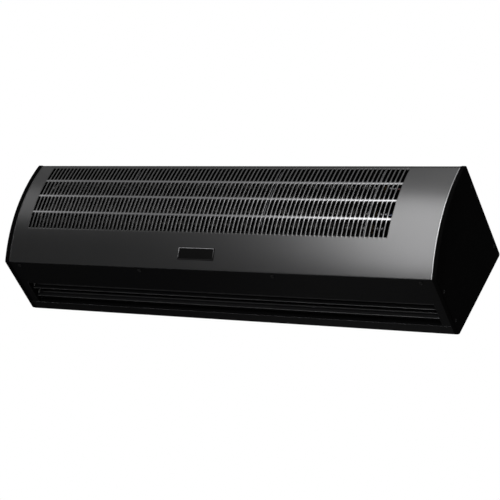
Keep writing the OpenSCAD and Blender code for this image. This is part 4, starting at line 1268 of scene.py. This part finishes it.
@dataclass(frozen=True)
class BadgePlate(SubAssembly):
    """The bare plate on the front, with a thin painted highlight along its edge.

    Attributes:
        thickness: Its thickness.
        corner: Radius of its corners.
        border: Width of its raised border.
        sink: Depth of the field inside the border.
        edge: Size of its cut edge.
        line: Width of the painted highlight line inside the border.
        lower_highlight: How bright that painted highlight is away from the top.
        base: Space between the plate and the panel.
        tight: Smallest radius of a corner.
    """

    thickness: float = 1.6 * MM
    corner: float = 1.6 * MM
    border: float = 1.3 * MM
    sink: float = 0.5 * MM
    edge: float = 0.35 * MM
    line: float = 0.4 * MM
    lower_highlight: float = 0.04
    base: float = 0.02 * MM
    tight: float = 0.3 * MM

    def model(self) -> None:
        """Makes and seats the plate."""
        low, high = size_of("badge_plate")
        radius, lift = SECTION.panel_radius, self.thickness
        top = math.asin((high.z - SECTION.centre[1]) / (radius + lift))
        bottom = SECTION.panel_angle(low.z)
        half_w, half_h = (high.x - low.x) / 2, (top - bottom) * radius / 2
        middle_x = (low.x + high.x) / 2
        middle_s = (SECTION.edge_angle - (top + bottom) / 2) * radius
        field = lift - self.sink
        # Each ring's last value is a painted highlight along the inside of the border.
        rings = (
            (0.0, self.base, 0.0),
            (0.0, lift - self.edge, 0.0),
            (self.edge, lift, 0.0),
            (self.border - self.line, lift, 0.15),
            (self.border, lift - self.edge / 2, 1.0),
            (self.border + self.line, field, 0.3),
            (self.border + 2 * self.line, field, 0.0),
        )
        points, marks = [], []
        for inset, height, mark in rings:
            corner = max(self.corner - inset, self.tight)
            line = self._rounded(half_w - inset, half_h - inset, corner)
            points += [SECTION.on_front(middle_x + x, middle_s + s, height) for x, s in line]
            # The painted highlight is full on the upper half and faint on the lower half, as if lit
            # from above.
            marks += [mark if s < 0 else mark * self.lower_highlight for _, s in line]
        count = len(line)
        faces = ring_faces(len(rings), count)
        for k in (0, len(points) - count):
            strip = [(k + i, k + count - 1 - i) for i in range(count // 2)]
            faces += [(a, c, d, b) for (a, b), (c, d) in zip(strip, strip[1:])]
        mesh = mesh_from("badge_plate_bare", points, faces)
        mark_points(mesh, marks)
        tidy_mesh(mesh, 1e-7)
        self.keep(new_object("badge_plate_bare", mesh), "badge_plate", angle=30.0)

    @staticmethod
    def _rounded(half_w: float, half_h: float, corner: float) -> Profile:
        """Returns a rectangle with rounded corners; its two halves mirror each other in height."""
        quarter = [(x, -half_h) for x in evenly(0.0, half_w - corner, steps=8)[:-1]]
        quarter += [
            (half_w - corner + corner * math.sin(a), corner * (1 - math.cos(a)) - half_h)
            for a in evenly(0.0, math.pi / 2, steps=4)
        ]
        upper = [(-x, s) for x, s in reversed(quarter[1:])] + quarter
        return upper + [(x, -s) for x, s in reversed(upper)]


@dataclass(frozen=True)
class Casing(SubAssembly):
    """The folded sheets of the case and the duct."""

    SOFT = (
        Softened(0.35 * MM, "rear_housing outlet_plate left_end_plate right_end_plate"),
        Softened(0.35 * MM, "bearing_bulkhead motor_bulkhead bay_floor scroll tongue"),
    )


@dataclass(frozen=True)
class Outlet(SubAssembly):
    """The guide vanes with their pins and bushes."""

    SOFT = (
        Softened(0.3 * MM, "vane_bushes"),
        Softened(0.3 * MM, "vane_front vane_front_pins", Body.FRONT_VANE),
        Softened(0.3 * MM, "vane_rear vane_rear_pins", Body.REAR_VANE),
    )


# ---- fan ---------------------------------------------------------------------------------


@dataclass(frozen=True)
class Roller(SubAssembly):
    """The tangential fan's roller, with its hub, stub, bearing and the motor's turning parts.

    Attributes:
        blades: Blades round the roller.
        sections: Sections along it.
        depth: Radial depth of a blade.
        sweep: How far a blade leans forward, in radians.
        sheet: Thickness of a blade.
        cover: How far the rings stand over the blades.
        ring: Thickness of a ring.
        ring_depth: Radial depth of a middle ring.
        ring_edge: Size of a ring's cut corners.
        hub_hole: Radius of the hole in the end rings.
    """

    blades: int = 30
    sections: int = 7
    depth: float = 13.0 * MM
    sweep: float = math.radians(16)
    sheet: float = 1.0 * MM
    cover: float = 0.5 * MM
    ring: float = 2.0 * MM
    ring_depth: float = 15.0 * MM
    ring_edge: float = 0.4 * MM
    hub_hole: float = 8.02 * MM

    SOFT = (
        Softened(0.5 * MM, "drive_hub idle_stub motor_rotor motor_shaft", Body.ROLLER),
        Softened(0.5 * MM, "bearing_inner_race", Body.ROLLER),
        Softened(0.4 * MM, "bearing_outer_race bearing_grommet"),
    )

    def model(self) -> None:
        """Makes and seats the roller."""
        low, high = size_of("impeller")
        radius, pitch = (high.z - low.z) / 2, (high.x - low.x) / self.sections
        axis = (low + high) / 2
        blade, rings = self._blade(radius, pitch), self._rings(low.x, pitch, radius, axis)
        rows = {"rows": self.sections, "start": low.x, "pitch": pitch}
        node, name = "impeller", "impeller_blades"
        made = self.repeat(name, node, blade, rings, axis, round=self.blades, **rows)
        self.keep(made, node, angle=40.0, body=Body.ROLLER)

    def _blade(self, radius: float, length: float) -> Mesh:
        """Returns one forward-curved blade of one section."""
        steps = 5
        line = []
        for t in evenly(0.0, 1.0, steps):
            r, a = radius - self.depth + (self.depth - self.cover) * t, self.sweep * t * t
            line.append(Vector((r * math.cos(a), r * math.sin(a))))
        back = []
        for k in range(steps, -1, -1):
            way = (line[min(k + 1, steps)] - line[max(k - 1, 0)]).normalized()
            back.append(line[k] + self.sheet * Vector((-way.y, way.x)))
        return loft("blade", [[(x, p.x, p.y) for p in line + back] for x in (0.0, length)])

    def _rings(self, start: float, pitch: float, radius: float, axis: Vector) -> Mesh:
        """Returns the rings between the sections and the discs at the ends."""
        rings = []
        for k in range(self.sections + 1):
            hole = self.hub_hole if k in (0, self.sections) else radius - self.ring_depth
            x = start + k * pitch - self.ring * {0: 0.0, self.sections: 1.0}.get(k, 0.5)
            outline = washer(hole, radius, x, x + self.ring, self.ring_edge)
            rings.append(turned("ring", outline, steps=96, closed=True))
        return moved(merged("rings", rings), axis)


@dataclass(frozen=True)
class Motor(SubAssembly):
    """The motor's standing parts and what carries it.

    Attributes:
        laminations: Sheets that show in the core.
        groove: Size of the cut edge of a sheet.
        bore: Inner radius of the core.
        coils: Coil ends on each side.
        coil_r: Radius of a coil end's bundle.
        coil_ring: Radius on which the coil ends lie.
        coil_span: Angle that one coil end spans, in radians.
    """

    laminations: int = 18
    groove: float = 0.25 * MM
    bore: float = 26.7 * MM
    coils: int = 12
    coil_r: float = 3.4 * MM
    coil_ring: float = 33.0 * MM
    coil_span: float = math.radians(62)

    SOFT = (
        Softened(1.0 * MM, "motor_shield_front motor_shield_rear", segments=3),
        Softened(0.5 * MM, "motor_bushes motor_isolators motor_cradle motor_bolts"),
    )

    def model(self) -> None:
        """Makes and seats the laminated core and the two crowns of coil ends."""
        low, high = size_of("stator_core")
        outer, groove = (high.z - low.z) / 2, self.groove
        edges = evenly(low.x, high.x, self.laminations)
        outline = [(self.bore, low.x)]
        for x, end in zip(edges, edges[1:]):
            outline += [(outer - groove, x), (outer, x + groove), (outer, end - groove)]
        outline += [(outer - groove, high.x), (self.bore, high.x)]
        core = moved(turned("core", outline, steps=64, closed=True), (low + high) / 2)
        self.keep(new_object("stator_core_laminated", core), "stator_core", angle=25.0)

        first, last = size_of("stator_windings")
        reach = low.x - first.x - self.coil_r
        crowns = [self._crown(low.x, -reach, (first + last) / 2)]
        crowns.append(self._crown(high.x, reach, (first + last) / 2))
        join_into(*crowns)
        crowns[0].name = "stator_windings_coils"
        self.keep(crowns[0], "stator_windings", angle=60.0)

    def _crown(self, start: float, reach: float, axis: Vector) -> Object:
        """Returns the coil ends round the axis that stand out of the core by the reach."""
        path = []
        for t in evenly(0.0, 1.0, steps=8):
            a = self.coil_span * (t - 0.5)
            rise = reach * math.sin(math.pi * t) ** 0.5 if 0.0 < t < 1.0 else 0.0
            path.append(Vector((rise, self.coil_ring * math.cos(a), self.coil_ring * math.sin(a))))
        coil, base = swept("coil", path, self.coil_r, sides=7), bpy.data.meshes.new("crown")
        turns = {"round": self.coils, "start": start}
        return self.repeat("crown", "stator_windings", coil, base, axis, **turns)


@dataclass(frozen=True)
class Bearing(SubAssembly):
    """The balls of the bearing at the left end."""

    def model(self) -> None:
        """Makes and seats the balls."""
        balls = shells("bearing_balls")
        radius = (balls[0][1].x - balls[0][0].x) / 2
        turns = evenly(0.0, math.pi, steps=8)
        outline = [(radius * math.sin(a), -radius * math.cos(a)) for a in turns]
        places = [((low + high) / 2, (0.0, 0.0, 0.0)) for low, high in balls]
        made = self.scatter("bearing_balls_round", turned("ball", outline, steps=12), places)
        self.keep(made, "bearing_balls", angle=80.0)


# ---- heater ------------------------------------------------------------------------------


@dataclass(frozen=True)
class Heater(SubAssembly):
    """The two hairpin heating rods with wound fins, their brackets and fittings.

    Attributes:
        rod: Radius of a rod.
        fin: Radius of the fins.
        fin_sheet: Thickness of the fin strip.
        ripple: How far the strip's outer edge waves.
        sunk: How far the strip reaches into the rod.
        pitch: Distance between turns of the strip.
        fins: Turns on each leg.
        fin_start: Distance from the bend to the first turn.
        bracket: Half the thickness of a bracket.
        bracket_gap: Space left free on each side of a bracket.
    """

    rod: float = 4.0 * MM
    fin: float = 11.0 * MM
    fin_sheet: float = 0.8 * MM
    ripple: float = 0.35 * MM
    sunk: float = 0.2 * MM
    pitch: float = 8.0 * MM
    fins: int = 97
    fin_start: float = 10.0 * MM
    bracket: float = 0.6 * MM
    bracket_gap: float = 5.5 * MM

    SOFT = (Softened(0.3 * MM, "heater_brackets heater_fittings heater_terminals"),)

    def model(self) -> None:
        """Makes and seats the two hairpins."""
        ends = ((low + high) / 2 for low, high in shells("heater_terminals"))
        legs = sorted(ends, key=lambda leg: -leg.z)
        self._hairpin("heater_upper", legs[:2])
        self._hairpin("heater_lower", legs[2:])

    def _hairpin(self, node: str, legs: Sequence[Vector]) -> None:
        """Makes one hairpin: a bent rod and two legs of fins."""
        low, high = size_of(node)
        first, second = (Vector((0.0, leg.y, leg.z)) for leg in legs)
        middle, arm = (first + second) / 2, (first - second) / 2
        bend, along = low.x + arm.length + self.rod, Vector((1.0, 0.0, 0.0))
        path = [
            middle + arm * math.cos(a) + along * (bend - arm.length * math.sin(a))
            for a in evenly(0.0, math.pi, steps=12)
        ]
        path = [first + along * high.x, *path, second + along * high.x]
        brackets = [box[0].x + self.bracket - self.pitch / 2 for box in shells("heater_brackets")]
        rows = {"rows": self.fins, "start": bend + self.fin_start, "pitch": self.pitch}
        skips = {"first": brackets[0], "second": brackets[-1], "width": self.bracket_gap}
        rows |= {f"skip_{key}": value for key, value in skips.items()}
        base = swept("rod", path, self.rod, sides=14)
        for leg in (first, second):
            made = self.repeat(f"{node}_finned", node, self._turn(), base, leg, **rows)
            if leg is first:
                base = made.data.copy()
                bpy.data.objects.remove(made)
        self.keep(made, node, angle=40.0)

    def _turn(self) -> Mesh:
        """Returns one turn of the wound strip, from X 0 to one pitch."""
        steps, foot, sheet = 16, self.rod - self.sunk, self.fin_sheet
        rings = []
        for k, a in enumerate(evenly(0.0, math.tau, steps)):
            x = (self.pitch - sheet) * k / steps
            wave = x + (self.ripple if k % 2 else -self.ripple)
            line = ((foot, x), (self.fin, wave), (self.fin, wave + sheet), (foot, x + sheet))
            rings.append([(x, r * math.cos(a), r * math.sin(a)) for r, x in line])
        return loft("fin_turn", rings, around=False, caps=False)


# ---- electrics ---------------------------------------------------------------------------


@dataclass(frozen=True)
class Electrics(SubAssembly):
    """The pieces of the motor bay that switch and feed the motor and the heater.

    Attributes:
        can_edge: Size of the capacitor's rounded edge.
        can_rim: Height of the rolled rim of the capacitor.
        can_over: How far the can reaches past the clip's far side.
        lead: Radius of the capacitor's leads.
        bend: Edges of a wire's solid sharper than this stay sharp, in degrees.
    """

    can_edge: float = 1.5 * MM
    can_rim: float = 1.2 * MM
    can_over: float = 12.0 * MM
    lead: float = 1.4 * MM
    bend: float = 60.0

    SOFT = (
        Softened(0.3 * MM, "capacitor_clip earth_stud", segments=3),
        Softened(0.5 * MM, "cable_grommet", segments=3),
        Softened(0.7 * MM, "terminal_block", segments=3),
        Softened(0.8 * MM, "thermal_cutout", segments=3),
        Softened(1.0 * MM, "contactor", segments=3),
        Softened(1.6 * MM, "cord_clamp", segments=3),
        Softened(0.6 * MM, "reset_button", Body.RESET, 3),
    )

    def model(self) -> None:
        """Makes and seats the capacitor and the wires."""
        self._capacitor()
        for end in ("heater_upper", "heater_lower", "motor", "earth", "supply"):
            self._wire(f"wire_{end}")

    def _capacitor(self) -> None:
        """Makes the can, with a rolled rim round its insulating end, and its two leads."""
        low, high = size_of("run_capacitor")
        radius, middle = (high.z - low.z) / 2, (low + high) / 2
        end = size_of("capacitor_clip")[0].x * 2 - low.x + self.can_over
        rim, edge = self.can_rim, self.can_edge
        outline = [(0.0, low.x), (radius - edge, low.x)]
        outline += [(radius - 0.3 * edge, low.x + 0.3 * edge), (radius, low.x + edge)]
        groove = ((0.0, 6.0), (0.5, 5.4), (0.5, 4.6), (0.0, 4.0))
        mouth = ((0.0, 0.5), (0.5, 0.0), (1.0, 0.3), (1.0, 1.0))
        outline += [(radius - inset * rim, end - back * rim) for inset, back in groove + mouth]
        outline.append((0.0, end - rim))
        parts = [moved(turned("can", outline, steps=48), middle)]
        for side in (-1, 1):
            y = middle.y + side * radius / 3
            ends = [Vector((x, y, middle.z)) for x in (end - 2 * rim, high.x)]
            parts.append(swept("lead", ends, self.lead, sides=12))
        name = "run_capacitor_can"
        self.keep(new_object(name, merged(name, parts)), "run_capacitor")

    def _wire(self, node: str) -> None:
        """Makes a round wire along its solid."""
        mesh = frame["nodes"][node].data.copy()
        mesh.materials.clear()
        tidy_mesh(mesh)
        with editing(mesh) as work:
            flatten(work)
            for edge in work.edges:
                inner = len(edge.link_faces) == 2
                edge.smooth = not inner or edge.calc_face_angle() <= math.radians(self.bend)
        made = new_object(f"{node}_round", mesh)
        level = made.modifiers.new("round", "SUBSURF")
        level.levels = level.render_levels = 1
        made.data = evaluated_mesh(made)
        self.keep(made, node, angle=50.0)


# ---- fasteners ---------------------------------------------------------------------------


@dataclass(frozen=True)
class Fasteners(SubAssembly):
    """Screws with rounded heads and their drives, and the hanging nuts.

    Attributes:
        shank: Share of the head's radius that the shank has.
        drive: Share of the head's radius that the drive has.
        head: Height of a head.
        drive_depth: Depth of the drive.
    """

    shank: float = 0.52
    drive: float = 0.45
    head: float = 1.8 * MM
    drive_depth: float = 1.2 * MM

    SOFT = (Softened(0.3 * MM, "hanger_nuts"),)

    def model(self) -> None:
        """Makes and seats the screws where their solids have them."""
        for node in ("cap_screws", "panel_screws", "cradle_screws", "terminal_screws"):
            boxes = shells(node)
            spans = sorted(boxes[0][1] - boxes[0][0])
            flat = spans[2] - spans[1] < ALIKE
            width, length = (spans[2], spans[0]) if flat else (spans[0], spans[2])
            places = [self._place(node, *box) for box in boxes]
            made = self.scatter(f"{node}_drive", self._screw(width / 2, length), places)
            self.keep(made, node, angle=30.0)

    @staticmethod
    def _place(node: str, low: Vector, high: Vector) -> tuple[Vector, Point]:
        """Returns the place and the turn of the screw in that box.

        Args:
            node: The screws' solid.
            low: The lowest corner of the screw's box.
            high: The highest corner.

        Returns:
            The middle of the head's top, and the turn that faces the head outwards.
        """
        place = (low + high) / 2
        if node == "panel_screws":
            place.z = low.z
            return place, (0.0, math.pi / 2, 0.0)
        if node == "terminal_screws":
            place.y = low.y
            return place, (0.0, 0.0, -math.pi / 2)
        right = node == "cradle_screws" or place.x > 0
        place.x = high.x if right else low.x
        return place, (0.0, 0.0, 0.0 if right else math.pi)

    def _screw(self, radius: float, length: float) -> Mesh:
        """Returns a screw with that head radius, its top at X 0 and its shank towards -X."""
        head, drive, deep = self.head, self.drive * radius, self.drive_depth
        outline = [(0.0, -deep), (drive, -deep), (1.1 * drive, -0.02 * head)]
        outline += [(0.75 * radius, -0.05 * head), (0.95 * radius, -0.3 * head)]
        outline.append((radius, -0.6 * head))
        if length > 1.5 * head:
            shank = self.shank * radius
            outline += [(radius, -head), (shank, -head), (shank, -length + shank)]
        else:
            outline.append((radius, -length))
        return turned("screw", [*outline, (0.0, -length)], steps=12)


# ---- studio ------------------------------------------------------------------------------


@dataclass(frozen=True)
class Softbox:
    """A rectangular lamp.

    Attributes:
        name: Its name.
        place: Where it stands.
        aim: The point it faces.
        size: Width and height.
        power: Power in watts.
    """

    name: str
    place: Point
    aim: Point
    size: tuple[float, float]
    power: float

    def build(self) -> None:
        """Puts the lamp in the scene."""
        lamp = bpy.data.lights.new(self.name, "AREA")
        lamp.shape = "RECTANGLE"
        lamp.size, lamp.size_y = self.size
        lamp.energy = self.power
        holder = new_object(self.name, lamp)
        holder.location = self.place
        way = Vector(self.aim) - Vector(self.place)
        holder.rotation_euler = way.to_track_quat("-Z", "Y").to_euler()
        holder.visible_camera = False


@dataclass(frozen=True)
class Studio:
    """Camera, lamps, pale floor and white surroundings.

    Attributes:
        eye: Where the camera stands.
        right: Its right-hand direction.
        up: Its upward direction.
        lens: Focal length in millimetres.
        floor_level: Height of the floor, a doorway below the casing.
        floor_reach: Distance from its middle to its edges.
        floor_glow: How much paler the floor looks to the camera.
        ambient: Strength of the surroundings as a light.
        lamps: The softboxes.
    """

    eye: Point = (1.9523, -2.0287, -2.0352)
    right: Point = (0.82573, 0.36266, 0.43203)
    up: Point = (-0.02879, -0.73783, 0.67437)
    lens: float = 121.921
    floor_level: float = -2.3
    floor_reach: float = 20.0
    floor_glow: float = 0.46
    ambient: float = 0.42
    lamps: tuple[Softbox, ...] = (
        Softbox("key_softbox", (-0.12, -1.32, -0.22), (0.42, -0.2, -0.05), (0.42, 1.32), 36.0),
        Softbox("top_softbox", (0.5, -1.2, 2.2), (0.2, -0.1, 0.0), (1.8, 1.2), 26.0),
        Softbox("upper_softbox", (-0.12, -1.32, 0.80), (0.42, -0.2, 0.05), (0.42, 0.70), 2.6),
        Softbox("left_softbox", (-0.95, -0.68, 0.10), (-0.5, -0.22, -0.01), (0.20, 0.28), 0.62),
        Softbox("back_softbox", (-0.70, 1.50, 0.35), (0.0, 0.0, 0.0), (1.6, 0.8), 110.0),
        Softbox("low_softbox", (-0.25, 0.78, -0.98), (0.4, -0.1, -0.1), (0.7, 0.7), 5.0),
    )

    def build(self) -> None:
        """Puts everything in the scene."""
        bpy.context.scene.view_settings.view_transform = "Standard"
        self._camera()
        self._surroundings()
        self._floor()
        for lamp in self.lamps:
            lamp.build()

    def _camera(self) -> None:
        """Sets the camera up at the photograph's viewing angle."""
        data = bpy.data.cameras.new("camera")
        data.lens = self.lens
        data.sensor_width = 36.0
        data.clip_start, data.clip_end = 0.01, 100.0
        right = Vector(self.right).normalized()
        back = right.cross(Vector(self.up)).normalized()
        turn = Matrix((right, back.cross(right), back)).transposed().to_4x4()
        camera = new_object("camera", data)
        camera.matrix_world = Matrix.Translation(self.eye) @ turn
        bpy.context.scene.camera = camera

    def _surroundings(self) -> None:
        """Makes the surroundings white to the camera and in reflections, else a dim light."""
        world = bpy.data.worlds.new("studio")
        world.use_nodes = True
        bpy.context.scene.world = world
        graph = Graph(world.node_tree)
        graph.tree.nodes.clear()
        path = graph.add("ShaderNodeLightPath").outputs
        seen = graph.math("MAXIMUM", path["Is Camera Ray"], path["Is Glossy Ray"])
        seen = graph.math("MAXIMUM", seen, path["Is Transmission Ray"])
        inputs = {"Color": (1, 1, 1, 1), "Strength": graph.spread(seen, self.ambient, 1.0)}
        light = graph.add("ShaderNodeBackground", inputs).outputs[0]
        graph.add("ShaderNodeOutputWorld", {"Surface": light})

    def _floor(self) -> None:
        """Lays the pale floor."""
        reach = self.floor_reach
        corners = ((-reach, -reach), (reach, -reach), (reach, reach), (-reach, reach))
        points = [(x, y, self.floor_level) for x, y in corners]
        floor = new_object("floor", mesh_from("floor", points, [(0, 1, 2, 3)]))
        material = bpy.data.materials.new("floor")
        material.use_nodes = True
        graph = Graph(material.node_tree)
        seen = graph.add("ShaderNodeLightPath").outputs["Is Camera Ray"]
        inputs = graph.tree.nodes["Principled BSDF"].inputs
        for name, value in (
            ("Base Color", (0.82, 0.82, 0.82, 1.0)),
            ("Roughness", 0.9),
            ("Emission Color", (1.0, 1.0, 1.0, 1.0)),
            ("Emission Strength", graph.math("MULTIPLY", seen, self.floor_glow)),
        ):
            graph.put(value, inputs[name])
        floor.data.materials.append(material)


def main() -> None:
    """Builds the dressed air curtain and its studio."""
    logging.basicConfig(level=logging.INFO, format="%(message)s")
    Studio().build()
    wardrobe = Wardrobe()
    wardrobe.dress_solids()
    patterns = Patterns()
    groups = (FrontPanel, BadgePlate, Casing, Outlet, Roller, Bearing)
    for kind in (*groups, Motor, Heater, Electrics, Fasteners):
        kind(wardrobe, patterns).build()
    for side in Side:
        EndCap(wardrobe, patterns, side).build()


if __name__ == "__main__":
    main()
